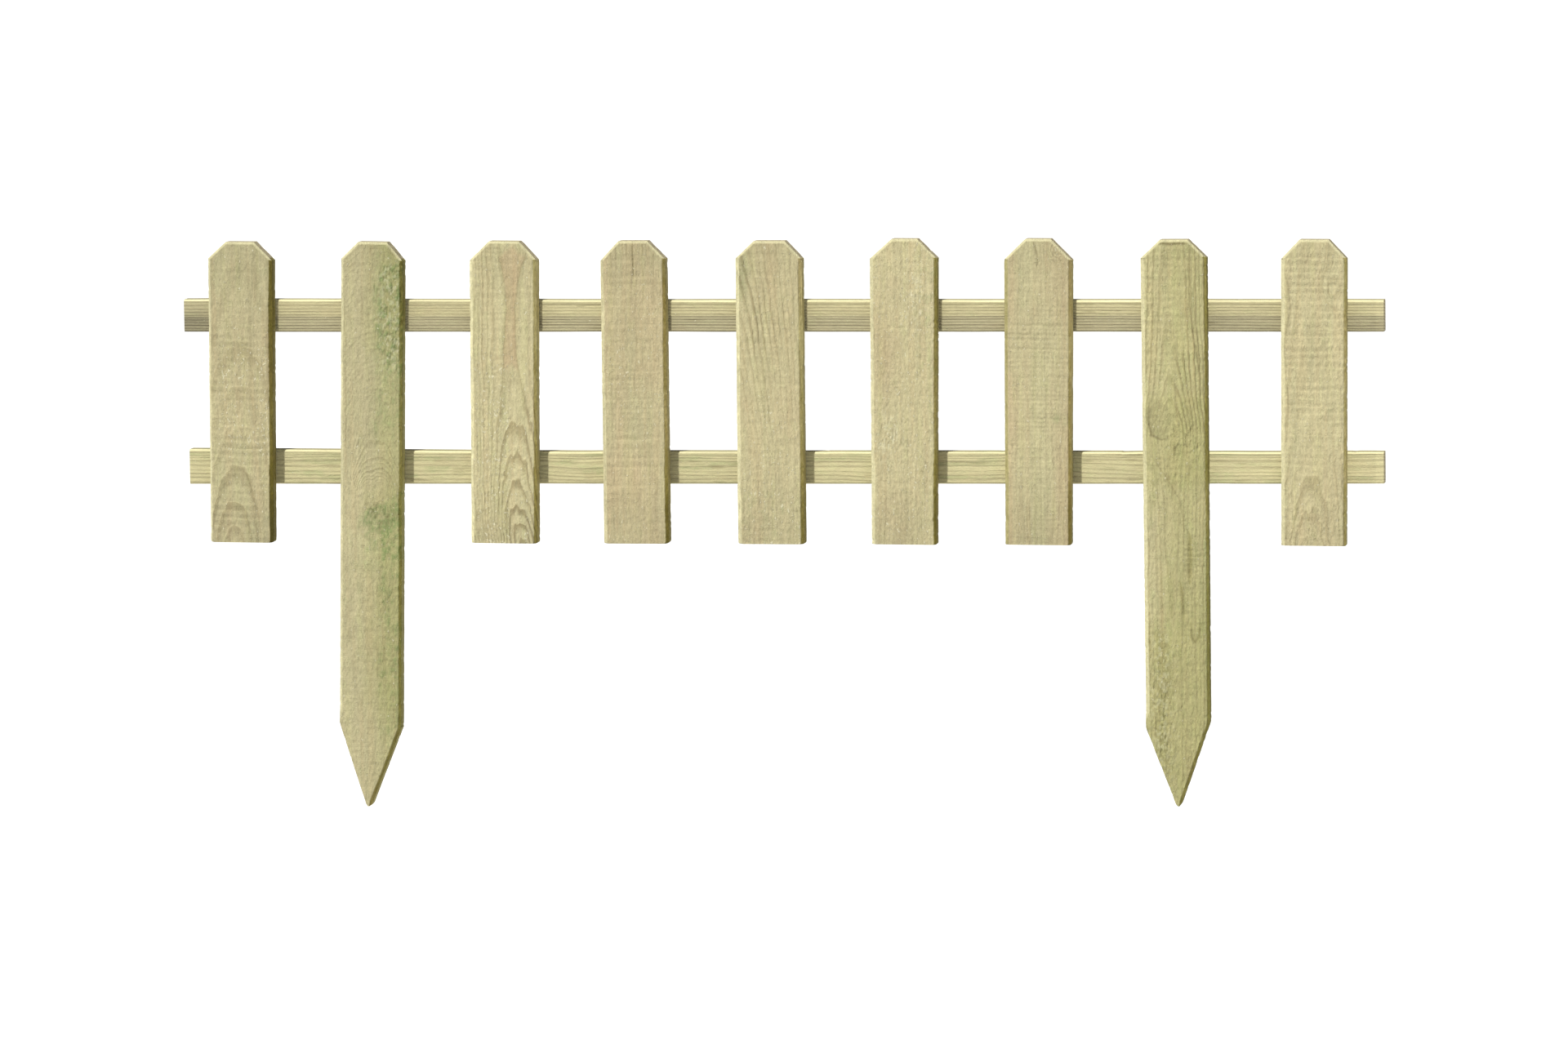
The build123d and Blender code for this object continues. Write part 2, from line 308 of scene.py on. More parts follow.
def face_picket_4(u, v, y, m):
    w = u + 1.8 * fbm(v / 40.0, u / 24.0, seed=401)
    m["phase"] = (w + 34 + 0.3 * y) / 5.0 + 0.6 * fbm(v / 70.0, u / 12.0, seed=402)
    m["saw"] = 1.0 * sawn(u, v, 8.6, -0.015, 403, reach=1.5) + 0.35 * sawn(u, v, 4.6, -0.01, 413, reach=1.4)
    m["pink"] = 0.35 + 0.35 * noise(u / 13.0, v / 55.0, seed=404) + 0.4 * spot(u, v, 0.5, 152, 3, 20) + 0.35 * spot(u, v, 1, 62, 4, 18)
    step = ramp(v + 0.03 * u + 0.9 * noise(u / 6.0, 0.3, seed=405), 46.6, 45.2)
    m["carve"] = 0.14 * step + 0.5 * stroke(u, v, [(1.0, 275.5), (0.3, 262), (1.0, 250), (0.5, 237.8)], 0.55, 406) \
        + 0.14 * saw_lines(u, v, (237.5, 234.0, 226.0, 213.0, 200.0, 150.0, 118.0, 96.0, 70.0), 0.8, 414)
    m["tone"] = -0.06 * step * (1 - 0.4 * ramp(v, 30, 0)) - 0.04 * ramp(v, 45, 0) * ramp(u, 0, 25) - 0.075 * ramp(v, 222, 262)
    m["dark"] = 0.62 * stroke(u, v, [(1.0, 275.5), (0.3, 262), (1.0, 250), (0.5, 237.8)], 0.6, 406) \
        + 0.45 * stroke(u, v, [(-8.8, 275.8), (-8.9, 264)], 0.5, 407) + 0.4 * stroke(u, v, [(-5.2, 275), (-5.2, 263)], 0.5, 408) \
        + 0.45 * stroke(u, v, [(9.2, 275), (9.0, 263)], 0.5, 409) + 0.4 * stroke(u, v, [(12.9, 275), (12.7, 260)], 0.5, 410) \
        + 0.35 * stroke(u, v, [(19.0, 271), (19.0, 258)], 0.5, 415) + 0.4 * stroke(u, v, [(0.2, 158), (0.8, 146), (0.4, 133)], 0.6, 411) \
        + 0.10 * saw_lines(u, v, (237.5, 234.0), 0.9, 414)
    m["speck"] = 0.4 + 0.4 * noise(u / 10.0, v / 30.0, seed=412) + 0.4 * band(v, 120, 235, 20)
    m["ring_deep"] = 0.16 + 0.30 * ramp(v, 200, 265)


def face_picket_5(u, v, y, m):
    x = u + 30 + 2.2 * fbm(v / 42.0, u / 15.0, seed=501) + 0.4 * noise(v / 6.0, u / 6.0, seed=508)
    drift = np.interp(u, [-28, -5, 25], [0.036, 0.028, 0.014])
    m["phase"] = 10 + x / 7.4 + 0.00045 * x ** 2 - drift * (262 - v) * ramp(v, -260, 120) + 0.05 * y
    m["saw"] = 0.65 * sawn(u, v, 9.0, 0.02, 503) + 0.35 * sawn(u, v, 5.2, 0.02, 513)
    m["pink"] = 0.10 + 0.2 * ramp(noise(u / 12.0, v / 60.0, seed=504), 0, 0.7)
    m["green"] = 0.45 * spot(u, v, -26, 238, 7, 14) + 0.25 * spot(u, v, -20, 252, 9, 9) + 0.22 * band(v, -5, 40, 20) * ramp(fbm(u / 4.0, v / 5.0, seed=505), 0.0, 0.5)
    m["speck"] = 0.40 + 0.7 * spot(u, v, 3, 100, 12, 34) + 0.5 * band(v, 0, 60, 30)
    m["ring_deep"] = 1.25 * ramp(v, 70, 175) * (0.50 + 0.50 * ramp(u, 14, -16)) * (0.75 + 0.45 * noise(u / 13.0, v / 50.0, seed=509)) + 0.22
    m["grit"] = 0.5 * ramp(v, 110, 40)
    m["dark"] = 0.30 * stroke(u, v, [(-27.5, 262), (-25.5, 243), (-22.5, 228)], 0.7, 506) + 0.22 * stroke(u, v, [(-22.0, 258), (-17.5, 232), (-11.2, 203.5), (-4.1, 170)], 0.6, 507)
    m["tone"] = -0.085 * ramp(v, 215, 268) - 0.085 * ramp(v, 75, 5) - 0.04 * ramp(u, -16, -28) * ramp(v, 200, 240)


def face_picket_6(u, v, y, m):
    w = u + 1.5 * fbm(v / 50.0, u / 20.0, seed=601)
    m["phase"] = (w + 34 + 0.3 * y) / 4.6 + 0.45 * fbm(v / 50.0, u / 12.0, seed=602)
    m["saw"] = 0.55 * sawn(u, v, 8.8, 0.0, 603) + 0.35 * sawn(u, v, 4.9, 0.0, 613)
    m["pink"] = 0.7 * spot(u, v, -17, 175, 10, 38) + 0.10 + 0.3 * spot(u, v, -10, 28, 14, 24)
    m["green"] = 0.35 * ramp(fbm(u / 3.0, v / 5.0, seed=604, octaves=3), 0.1, 0.6) * band(v, 150, 255, 30) * ramp(u, 4, 20)
    m["speck"] = 0.85 + 0.9 * spot(u, v, 12, 226, 8, 34) + 0.9 * spot(u, v, -12, 102, 8, 8)
    scuffed = spot(u, v, -13, 97, 11, 20)
    hairy = fbm(u / 1.9, v / 5.0, seed=606, octaves=2)
    m["rough"] = 0.35 + 0.7 * scuffed
    m["grit"] = 0.45 + 0.8 * scuffed
    m["pale"] = (0.75 * scuffed + 0.45 * spot(u, v, 12, 226, 9, 36)) * ramp(hairy, 0.12, 0.42)
    m["ring_deep"] = 0.16 + 0.62 * ramp(u, 0, 20) * ramp(v, 120, 220) + 0.42 * ramp(v, 60, 0)
    m["tone"] = 0.045 * fbm(u / 11.0, v / 26.0, seed=607, octaves=2) + 0.03 * ramp(v, 200, 250) - 0.075 * spot(u, v, -17, 175, 12, 40) - 0.115 * ramp(v, 70, 0) * ramp(u, 26, 12) + 0.03 * ramp(u, -5, 20) * ramp(v, 100, 180)
    m["carve"] = 0.12 * stroke(u, v, [(-22, 273.0), (-8, 273.6), (8, 272.8), (20, 273.4)], 0.7, 605)
    m["dark"] = 0.18 * stroke(u, v, [(-22, 273.0), (-8, 273.6), (8, 272.8), (20, 273.4)], 0.6, 605) \
        + 0.30 * ramp(noise(u / 1.4, v / 5.0, seed=608), 0.45, 0.8) * (spot(u, v, -3, 38, 11, 24) + 0.6 * scuffed)


def face_picket_7(u, v, y, m):
    w = u + 1.4 * fbm(v / 60.0, u / 26.0, seed=701)
    knot = 2.6 * np.exp(-(((u - 16) / 7.0) ** 2 + ((v - 268) / 7.0) ** 2))
    m["phase"] = (w + 34 + 0.3 * y) / 5.4 + 0.5 * fbm(v / 60.0, u / 16.0, seed=702) + knot
    m["saw"] = 0.85 * sawn(u, v, 4.2, 0.01, 703, drift=2.0, reach=1.5) * (0.35 + 0.65 * band(v, 55, 205, 25)) + 0.55 * sawn(u, v, 9.3, 0.0, 713, reach=1.5)
    m["pink"] = 0.12 + 0.3 * noise(u / 11.0, v / 60.0, seed=704) + 0.5 * ramp(u, 6, 24) + 0.45 * ramp(u, -15, -25)
    m["green"] = 0.5 * spot(u, v, 17, 115, 4, 5) + 0.06
    m["dark"] = 0.58 * stroke(u, v, [(-4.8, 276), (-2.2, 271), (-0.2, 262), (-0.1, 249.8)], 0.6, 705) \
        + 0.42 * stroke(u, v, [(-10.2, 40), (-9.6, 20), (-8.7, 0)], 0.55, 706) + 0.30 * stroke(u, v, [(-7.4, 38), (-7.2, 14)], 0.45, 707)
    m["carve"] = 0.45 * stroke(u, v, [(-4.8, 276), (-2.2, 271), (-0.2, 262), (-0.1, 249.8)], 0.55, 705) \
        + 0.35 * stroke(u, v, [(-10.2, 40), (-9.6, 20), (-8.7, 0)], 0.5, 706)
    m["speck"] = 0.35 + 0.6 * spot(u, v, 16, 268, 9, 7)
    m["grit"] = 0.6 * spot(u, v, 16, 268, 11, 9)
    m["ring_deep"] = 0.16 + 0.5 * spot(u, v, 16, 266, 13, 12) + 0.22 * ramp(v, 70, 10)
    m["tone"] = -0.05 * ramp(v, 222, 262) - 0.05 * ramp(v, 240, 268) * ramp(u, 5, 25) - 0.05 * ramp(u, 2, 24) * band(v, 60, 260, 30) + 0.02 * band(v, 70, 190, 40) - 0.13 * ramp(v, 75, 5)


def face_stake_right(u, v, y, m):
    w = u + 1.3 * fbm(v / 45.0, u / 22.0, seed=801) + 0.5 * noise(v / 7.0, u / 6.0, seed=821)
    up = v - 102.0
    stretch = np.where(up > 0, 1.3 + np.abs(up) / 24.0, 2.4 + np.abs(up) / 14.0)
    r = np.hypot(w + 4.0, up / stretch)           # rings swept round the knot
    m["phase"] = 6 + (r + 0.25 * y + 0.9 * fbm(v / 40.0, u / 9.0, seed=802)) / 3.1
    m["saw"] = 0.95 * sawn(u, v, 6.6, 0.02, 803, reach=1.6) * (0.45 + 0.55 * ramp(v, 120, 165)) + 0.45 * sawn(u, v, 5.0, 0.01, 813) * (0.4 + 0.6 * ramp(u, 0, -15)) \
        + 1.1 * sawn(u, v, 5.2, 0.0, 823, reach=2.0) * band(u, 9, 25, 5) * band(v, -72, -6, 14)
    mott = fbm(u / 4.5, v / 9.0, seed=804, octaves=4)
    wide = fbm(u / 11.0, v / 30.0, seed=809, octaves=3)
    m["olive"] = 0.36 + 0.25 * ramp(u + 5 * wide, -16, 6) + 0.20 * ramp(v, -10, -80) - 0.25 * ramp(u, -10, -22) * band(v, -60, 20, 20) + 0.25 * band(v, 62, 128, 16)
    m["green"] = 0.18 * ramp(mott, -0.1, 0.5) + 0.35 * ramp(u + 3 * wide, 20, 28) * band(v, -180, 0, 30)
    flaky = np.exp(-((u + 15 + 4 * wide) / 10.0) ** 2) * band(v, -205, -90, 22)     # lifted fibres down the left of the stem
    line1 = [(15.9, 272.5), (14.3, 258.3), (14.3, 221.5), (16.1, 203.1), (20.4, 171.5), (24.6, 142.0)]
    line2 = [(21.3, 259.8), (18.9, 236.2), (18.0, 221.5), (20.7, 193.6), (24.8, 164.1)]
    knot = [(-22.5, 129.5), (-24.2, 113.3), (-21.0, 100.0), (-12.1, 95.6), (-6.2, 97.0)]
    oily = stroke(u, v, [(12.0, 12), (12.6, -14), (12.6, -34)], 1.7, 814, wander=0.8) + 0.9 * stroke(u, v, [(4.0, -33), (5.4, -48), (6.2, -68)], 1.3, 815) \
        + 0.9 * stroke(u, v, [(12.9, -70), (13.6, -82), (16.4, -87.5), (20.0, -83), (21.8, -70)], 1.0, 816)     # olive streaks
    m["olive"] = m["olive"] + 0.8 * oily + 0.4 * flaky
    marks = 0.50 * stroke(u, v, line1, 0.8, 805) + 0.34 * stroke(u, v, line2, 0.6, 806) + 0.50 * stroke(u, v, knot, 1.1, 807) \
        + 0.32 * stroke(u, v, [(-7.6, 270), (-7.2, 251)], 0.5, 808) + 0.28 * stroke(u, v, [(-5.4, 271), (-5.0, 255)], 0.45, 810) \
        + 0.30 * stroke(u, v, [(-24.1, 85.2), (-8.8, 63.1), (4.3, 40.9), (9.5, 3.9)], 0.6, 811) \
        + 0.26 * stroke(u, v, [(-2.9, 57.9), (-3.4, 42), (-3.2, 29.8)], 0.6, 812) \
        + 0.30 * stroke(u, v, [(27.2, 262), (26.0, 236), (25.2, 214)], 0.5, 817) \
        + 0.5 * oily \
        + 0.30 * stroke(u, v, [(0.6, 150), (1.5, 120), (6, 104)], 0.6, 818)
    dark_streaks = ramp(noise(u / 3.2, v / 1.3, seed=822), 0.30, 0.75) * spot(u, v, 8, 97, 17, 15)
    m["dark"] = 1.2 * marks + 0.30 * dark_streaks + 0.20 * flaky * ramp(fbm(u / 2.0, v / 3.0, seed=820, octaves=2), -0.1, -0.45) + 0.55 * spot(u, v, -0.4, 88, 1.4, 2.8) + 0.5 * spot(u, v, -0.6, 83, 1.4, 1.6) + 0.5 * spot(u, v, -5.8, 61.6, 1.3, 2.6) \
        + 0.85 * stroke(u, v, [(-14, 272.4), (-8, 273.0), (-2, 272.2), (6, 273.0), (14, 272.4)], 1.2, 819)
    m["carve"] = 0.30 * marks + 0.30 * spot(u, v, -0.4, 87, 2.2, 3.6) - 0.22 * spot(u, v, -14, 112, 6.5, 11) \
        + 0.25 * stroke(u, v, [(-14, 272.4), (-8, 273.0), (-2, 272.2), (6, 273.0), (14, 272.4)], 1.2, 819)
    m["rough"] = 1.2 * spot(u, v, 10, 98, 18, 22) + 0.9 * flaky + 0.3 + 0.3 * ramp(v, -70, -110)
    m["grit"] = 0.35 + 1.5 * spot(u, v, 10, 98, 18, 18) + 1.3 * flaky + 0.4 * ramp(v, -70, -110)
    m["speck"] = 0.18 + 0.5 * flaky
    bowl = np.hypot((u + 13.5) / 10.5, (v - 113.5) / 17.0)
    m["tone"] = -0.13 * ramp(bowl, 1.06, 0.9) - 0.14 * ramp(bowl, 0.75, 1.0) * ramp(bowl, 1.08, 1.0) * ramp(u, -8, -20) - 0.025 * band(v, 60, 132, 14) - 0.055 * ramp(v, -20, -90) * ramp(u, -30, -14) - 0.045 * ramp(v, 225, 268) \
        + 0.04 * ramp(u, -8, -22) * band(v, -60, 60, 20) + 0.06 * ramp(u, -10, -22) * band(v, 150, 260, 20) + 0.02 * ramp(v, 0, -60) + 0.085 * ramp(v, 55, 105)
    m["pale"] = 0.45 * flaky * ramp(fbm(u / 2.0, v / 3.0, seed=820, octaves=2), 0.0, 0.4)
    m["ring_deep"] = (0.78 + 0.75 * band(u, 4, 26, 6) * band(v, 100, 165, 18) + 0.45 * band(v, 150, 262, 20) * ramp(np.abs(u), 4, 12)) \
        * (0.15 + 0.85 * ramp(r, 6, 12)) * (1 - 0.40 * band(v, 60, 96, 12)) * (1 - 0.6 * spot(u, v, -15, 112, 10, 18))
    m["pink"] = 0.0


def face_picket_9(u, v, y, m):
    w = u + 1.5 * fbm(v / 30.0, u / 20.0, seed=901) + 0.5 * noise(v / 5.0, u / 6.0, seed=907)
    m["phase"] = cathedral(w + 1.2 * noise(v / 4.0, u / 5.0, seed=909) * ramp(v, 70, 40), v + 4.0 * noise(u / 4.0, v / 9.0, seed=902), y, -3.7 + 0.03 * v, 4.6,
                           [0, 14, 36, 66, 110, 276], [1.0, 2, 3, 4, 4.8, 6.5]) + 1.6 * spot(u, v, 16, 232, 8, 15)
    m["saw"] = 1.2 * sawn(u, v, 7.0, 0.01, 903, reach=3.0) * (0.4 + 0.6 * band(v, 80, 262, 25)) + 0.25 * sawn(u, v, 3.9, 0.01, 913)
    m["pink"] = 0.10 + 0.2 * noise(u / 14.0, v / 60.0, seed=904)
    edge = [(-28, 271.2), (-26.5, 249.2), (-22.9, 234.5), (-20.6, 212.5), (-26.5, 183.1), (-24.5, 150), (-22.1, 124.2), (-24, 96)]
    curl = [(18.6, 262), (17.0, 252), (13.4, 240), (14.0, 228), (17.5, 216), (15.0, 208)]
    m["dark"] = 0.34 * stroke(u, v, edge, 0.9, 905) + 0.18 * stroke(u, v, curl, 0.8, 906) + 0.16 * stroke(u, v, [(-24.3, 21), (-23.4, 12), (-24.5, 3)], 0.8, 908)
    m["carve"] = 0.16 * stroke(u, v, edge, 0.9, 905) + 0.22 * stroke(u, v, curl, 1.0, 906) + 0.16 * stroke(u, v, [(-24.3, 26), (-23.4, 12), (-24.5, 3)], 0.9, 908)
    m["speck"] = 0.3
    m["ring_deep"] = 0.42 + 0.55 * band(v, -5, 62, 20) + 0.5 * spot(u, v, 16, 232, 10, 18)
    m["rough"] = 0.9 * spot(u, v, 2, 20, 22, 26) + 0.35 * band(v, 90, 262, 30)
    m["grit"] = 0.8 * spot(u, v, 2, 20, 24, 26) + 0.3
    m["tone"] = -0.06 * ramp(v, 222, 268) - 0.06 * ramp(v, 50, 0) + 0.055 * ramp(v, 50, 100) + 0.02 * spot(u, v, 4, 125, 20, 30) \
        + 0.035 * noise((u + 3.0 * noise(v / 18.0, 0.4, seed=910)) / 5.0, v / 90.0, seed=911)


FACES = {
    "picket_1": face_picket_1, "stake_left": face_stake_left, "picket_3": face_picket_3,
    "picket_4": face_picket_4, "picket_5": face_picket_5, "picket_6": face_picket_6,
    "picket_7": face_picket_7, "stake_right": face_stake_right, "picket_9": face_picket_9,
}


def profile(phase, uneven=0.6):
    """Height of the hard late wood in each ring, from 0 to 1; rings differ."""
    whole = np.floor(phase).astype(np.int64)
    f = phase - whole
    nought = np.zeros(np.shape(phase), np.int64)
    return ramp(f, 0.45, 0.84) * (1 - ramp(f, 0.88, 1.0)) * (1 - uneven * lattice(whole, nought, nought, 5))


# ------------------------------------------------------------------ mesh tools
def write_mesh(name, points, faces, material, attributes):
    """A mesh object from points in mm, faces and one value or vector a point."""
    mesh = bpy.data.meshes.new(name)
    mesh.from_pydata((points * MM).tolist(), [], faces)
    mesh.update()
    mesh.polygons.foreach_set("use_smooth", np.ones(len(faces), bool))
    mesh.set_sharp_from_angle(angle=math.radians(34))
    for key, values in attributes.items():
        if values.ndim == 1:
            made = mesh.attributes.new(key, "FLOAT", "POINT")
            made.data.foreach_set("value", values.astype(np.float32))
        else:
            made = mesh.attributes.new(key, "FLOAT_VECTOR", "POINT")
            made.data.foreach_set("vector", values.astype(np.float32).ravel())
    mesh.materials.append(material)
    made = bpy.data.objects.new(name, mesh)
    bpy.context.scene.collection.objects.link(made)
    return made


def zipper(a, b):
    """Triangles between two rows of vertices that run the same way, of any
    lengths. Each row is a list of (index, position along the row)."""
    out, i, j = [], 0, 0
    while i < len(a) - 1 or j < len(b) - 1:
        if j == len(b) - 1 or (i < len(a) - 1 and a[i + 1][1] <= b[j + 1][1]):
            out.append((a[i][0], a[i + 1][0], b[j][0]))
            i += 1
        else:
            out.append((a[i][0], b[j + 1][0], b[j][0]))
            j += 1
    return out


def end_cap(ring, index, front_n, side_n, back_n, axis, level, first_new):
    """Closes one end of a piece with a fine grid, so that its end grain shows.
    ring holds the end's points and index their numbers; axis is the direction
    from one side to the other. Returns the new points and the faces."""
    n = len(index)
    start = front_n + side_n
    front = [(int(index[c]), float(ring[c, axis])) for c in range(front_n)]
    back = [(int(index[c]), float(ring[c, axis])) for c in range(start + back_n - 1, start - 1, -1)]
    count = 26
    points, rows = [], []
    for i in range(side_n):
        a, b = n - 1 - i, front_n + i
        share = np.arange(1, count) / count
        line = ring[a][None, :] + (ring[b] - ring[a])[None, :] * share[:, None]
        line[:, level] = ring[a, level] + (ring[b, level] - ring[a, level]) * share
        row = [(int(index[a]), float(ring[a, axis]))]
        for p in line:
            row.append((first_new + len(points), float(p[axis])))
            points.append(p)
        row.append((int(index[b]), float(ring[b, axis])))
        rows.append(row)
    faces = zipper(front, rows[0])
    for one, two in zip(rows[:-1], rows[1:]):
        faces += zipper(one, two)
    faces += zipper(rows[-1], back)
    return np.array(points), faces


FRONT_COLS = 80
BACK_COLS = 20
SIDE_ROWS = 5


def board(name, material):
    """One board as a closed mesh of level rings."""
    s, made_as = BOARDS[name], MAKE[name]
    left, right = outline(name)
    lz, lxs = np.array(left).T
    rz, rxs = np.array(right).T
    low, top = lz[0], s["top"]
    marks = sorted({float(z) for z in list(lz) + list(rz)} | {top - 2.4, top - 1.6, top - 0.8, top - s["left"][1] + 1.2,
                   top - s["right"][1] + 1.2, low + 0.35, low + 0.9})
    levels = []
    for a, b in zip(marks[:-1], marks[1:]):
        count = max(1, int(round((b - a) / 0.92)))
        levels += list(np.linspace(a, b, count + 1)[:-1])
    levels = np.array(levels + [marks[-1]])
    seed = 1000 + 37 * list(BOARDS).index(name)

    # edges of the board at each level, a little worn, uneven and chipped
    xl, xr = np.interp(levels, lz, lxs), np.interp(levels, rz, rxs)
    chip = made_as["chips"]
    wear_l = 0.16 * fbm(levels / 9.0, 0.3, seed=seed, octaves=4) + 0.12
    wear_r = 0.16 * fbm(levels / 9.0, 0.7, seed=seed + 1, octaves=4) + 0.12
    xl = xl + wear_l + 0.55 * chip * ramp(noise(levels / 3.1, 0.2, seed=seed + 2), 0.35, 0.9)
    xr = xr - wear_r - 0.65 * chip * ramp(noise(levels / 2.9, 0.8, seed=seed + 3), 0.30, 0.85)
    if name not in POINTS:            # the foot's corners are slightly rounded
        for radius, sign in zip(made_as["foot"], (1, -1)):
            h = np.clip(radius - levels, 0, radius)
            inset = radius - np.sqrt(np.maximum(radius ** 2 - h ** 2, 0))
            if sign > 0:
                xl = xl + inset * 0.8
            else:
                xr = xr - inset * 0.8
    width = xr - xl

    # columns: fixed offsets inside the arris, the rest spread evenly
    arris_l = made_as["arris"][0] * (1 + 0.10 * noise(levels / 30.0, 0.2, seed=seed + 6))
    arris_r = made_as["arris"][1] * (1 + 0.10 * noise(levels / 30.0, 0.8, seed=seed + 7))

    def arris_offset(corner, arris):
        cx, cz = corner
        shoulder = top - cz
        on_slope = HEAD_ARRIS * math.hypot(cx, cz) / cz
        return arris + (on_slope - arris) * ramp(levels, shoulder, shoulder + 1.2)
    off_l = np.minimum(arris_offset(s["left"], arris_l), width * 0.16)
    off_r = np.minimum(arris_offset(s["right"], arris_r), width * 0.16)
    k = 4
    steps = np.arange(k + 1) / k
    inner = np.linspace(0, 1, FRONT_COLS - 2 * k)[1:-1]
    cols = np.concatenate([
        xl[:, None] + off_l[:, None] * steps[None, :],
        (xl + off_l)[:, None] + (width - off_l - off_r)[:, None] * inner[None, :],
        xr[:, None] - off_r[:, None] * steps[None, ::-1],
    ], 1)
    V = np.broadcast_to(levels[:, None], cols.shape)

    # the arrises: 45 degree bevels; of the stakes' points only the right side has one
    point_top = max(POINTS[name]["left"], POINTS[name]["right"]) if name in POINTS else -1e9
    whole = ramp(V, point_top - 3, point_top + 14) if name in POINTS else 1.0
    y = np.zeros(cols.shape)
    d_left, d_right = cols - xl[:, None], xr[:, None] - cols
    straight_l, straight_r = V < top - s["left"][1] + 0.01, V < top - s["right"][1] + 0.01
    y = np.maximum(y, arris_l[:, None] * whole - d_left - np.where(straight_l, 0, 1e3))
    y = np.maximum(y, np.minimum(arris_r, 0.4 * width)[:, None] - d_right - np.where(straight_r, 0, 1e3))
    for (cx, cz), sign in ((s["left"], -1), (s["right"], 1)):
        length = math.hypot(cx, cz)
        corner_u = sign * s["head_w"] / 2
        # distance inwards from the sloping cut
        dist = ((corner_u - cols) * sign * cz + (top - V) * cx - cx * cz) / length
        y = np.maximum(y, np.where(V > top - cz - 4, HEAD_ARRIS - dist, 0))
    y = np.maximum(y, HEAD_ARRIS - (top - V))
    bevel = np.clip(y, 0, 4.6)
    arris = np.clip(bevel / 1.2, 0, 1)
    on_right = ramp((cols - (xl + xr)[:, None] / 2) / width[:, None], 0.10, 0.17) * (V < top - s["right"][1] + 1.0)

    def masks_at(u, v, yy):
        m = {key: np.zeros(np.shape(u)) for key in MASKS}
        FACES[name](u, v, yy, m)
        for key in MASKS:
            m[key] = np.broadcast_to(np.asarray(m[key], float), np.shape(u))
        return m

    m = masks_at(cols, V, bevel)
    rings = profile(m["phase"])
    lumps = fbm(cols / 3.0, V / 7.5, seed=seed + 8, octaves=3, gain=0.6)
    fine = fbm(cols / 1.5, V / 3.4, seed=seed + 9, octaves=2)
    fibres = fbm(cols / 1.5, V / 16.0, seed=seed + 10, octaves=2)
    relief = 0.36 * m["ring_deep"] * (0.4 - rings) + 0.72 * m["saw"] + m["carve"] \
        + (0.14 + 0.33 * m["rough"]) * lumps + (0.23 + 0.28 * m["grit"]) * fine + 0.15 * fibres \
        + 0.10 * fbm(cols / 14.0, V / 40.0, seed=seed + 18)
    y = y + np.maximum(SKIN + relief * (1 - 0.6 * arris), 0.02)
    front = np.stack([cols, y, V], -1)

    # the back: fewer columns, plain sawn, with very slightly worn edges
    share = np.linspace(0, 1, BACK_COLS)
    bx = xl[:, None] + 0.3 + (width[:, None] - 0.6) * share[None, :]
    bv = np.broadcast_to(levels[:, None], bx.shape)
    worn = 0.6 * np.exp(-np.minimum(bx - xl[:, None], xr[:, None] - bx) / 0.8)
    mb = masks_at(bx, bv, np.full(bx.shape, BOARD_T))
    by = BOARD_T - 0.04 - worn - 0.32 * sawn(bx, bv, 7.7, 0.02, seed + 11) - 0.16 * sawn(bx, bv, 4.3, 0.02, seed + 21) \
        - 0.14 * (0.5 + 0.5 * fbm(bx / 4.0, bv / 7.0, seed=seed + 12)) - 0.12 * (1 - profile(mb["phase"]))
    back = np.stack([bx, by, bv], -1)

    # the two edges between them
    t = np.linspace(0, 1, SIDE_ROWS + 2)[1:-1]

    def edge(front_col, back_col, sign, n_seed):
        a, b = front[:, front_col], back[:, back_col]
        pts = a[:, None] + (b - a)[:, None] * t[None, :, None]
        pts[..., 0] += sign * (0.3 * np.minimum(t, 1 - t)[None, :] * 2 - 0.05
                               - 0.15 * (0.5 + 0.5 * fbm(pts[..., 1] / 2.4, pts[..., 2] / 14.0, seed=n_seed))
                               - 0.16 * sawn(pts[..., 1], pts[..., 2], 6.0, 0.15, n_seed + 1))
        return pts
    right_side, left_side = edge(-1, -1, 1, seed + 13), edge(0, 0, -1, seed + 15)

    ring = np.concatenate([front, right_side, back[:, ::-1], left_side[:, ::-1]], 1)
    rows, n = ring.shape[:2]
    idx = np.arange(rows * n).reshape(rows, n)
    nxt = np.roll(idx, -1, 1)
    faces = np.stack([idx[:-1], nxt[:-1], nxt[1:], idx[1:]], -1).reshape(-1, 4).tolist()
    local = ring.reshape(-1, 3)
    cap_points = []
    for r, upwards in ((0, False), (rows - 1, True)):
        pts, cap_faces = end_cap(ring[r], idx[r], FRONT_COLS, SIDE_ROWS, BACK_COLS, 0, 2,
                                 len(local) + sum(len(p) for p in cap_points))
        dent = 0.22 * (0.5 + 0.5 * fbm(pts[:, 0] / 2.0, pts[:, 1] / 2.0, seed=seed + 19))
        pts[:, 2] += -dent if upwards else dent
        cap_points.append(pts)
        faces += cap_faces if upwards else [tuple(reversed(f)) for f in cap_faces]
    caps = np.concatenate(cap_points)
    n_cap = len(caps)
    local = np.concatenate([local, caps])

    # attributes for the material, from the same formulas
    def flags(where, cap_value=0.0):
        grid = np.zeros((rows, n))
        grid[where] = 1
        return np.concatenate([grid.ravel(), np.full(n_cap, cap_value)])
    all_rows = slice(None)
    is_front = flags((all_rows, slice(0, FRONT_COLS)))
    side_right = flags((all_rows, slice(FRONT_COLS, FRONT_COLS + SIDE_ROWS)))
    side_left = flags((all_rows, slice(FRONT_COLS + SIDE_ROWS + BACK_COLS, n)))
    is_back = flags((all_rows, slice(FRONT_COLS + SIDE_ROWS, FRONT_COLS + SIDE_ROWS + BACK_COLS)))
    is_cap = np.concatenate([np.zeros(rows * n), np.ones(n_cap)])
    m = masks_at(local[:, 0], local[:, 2], np.clip(local[:, 1], 0, BOARD_T))

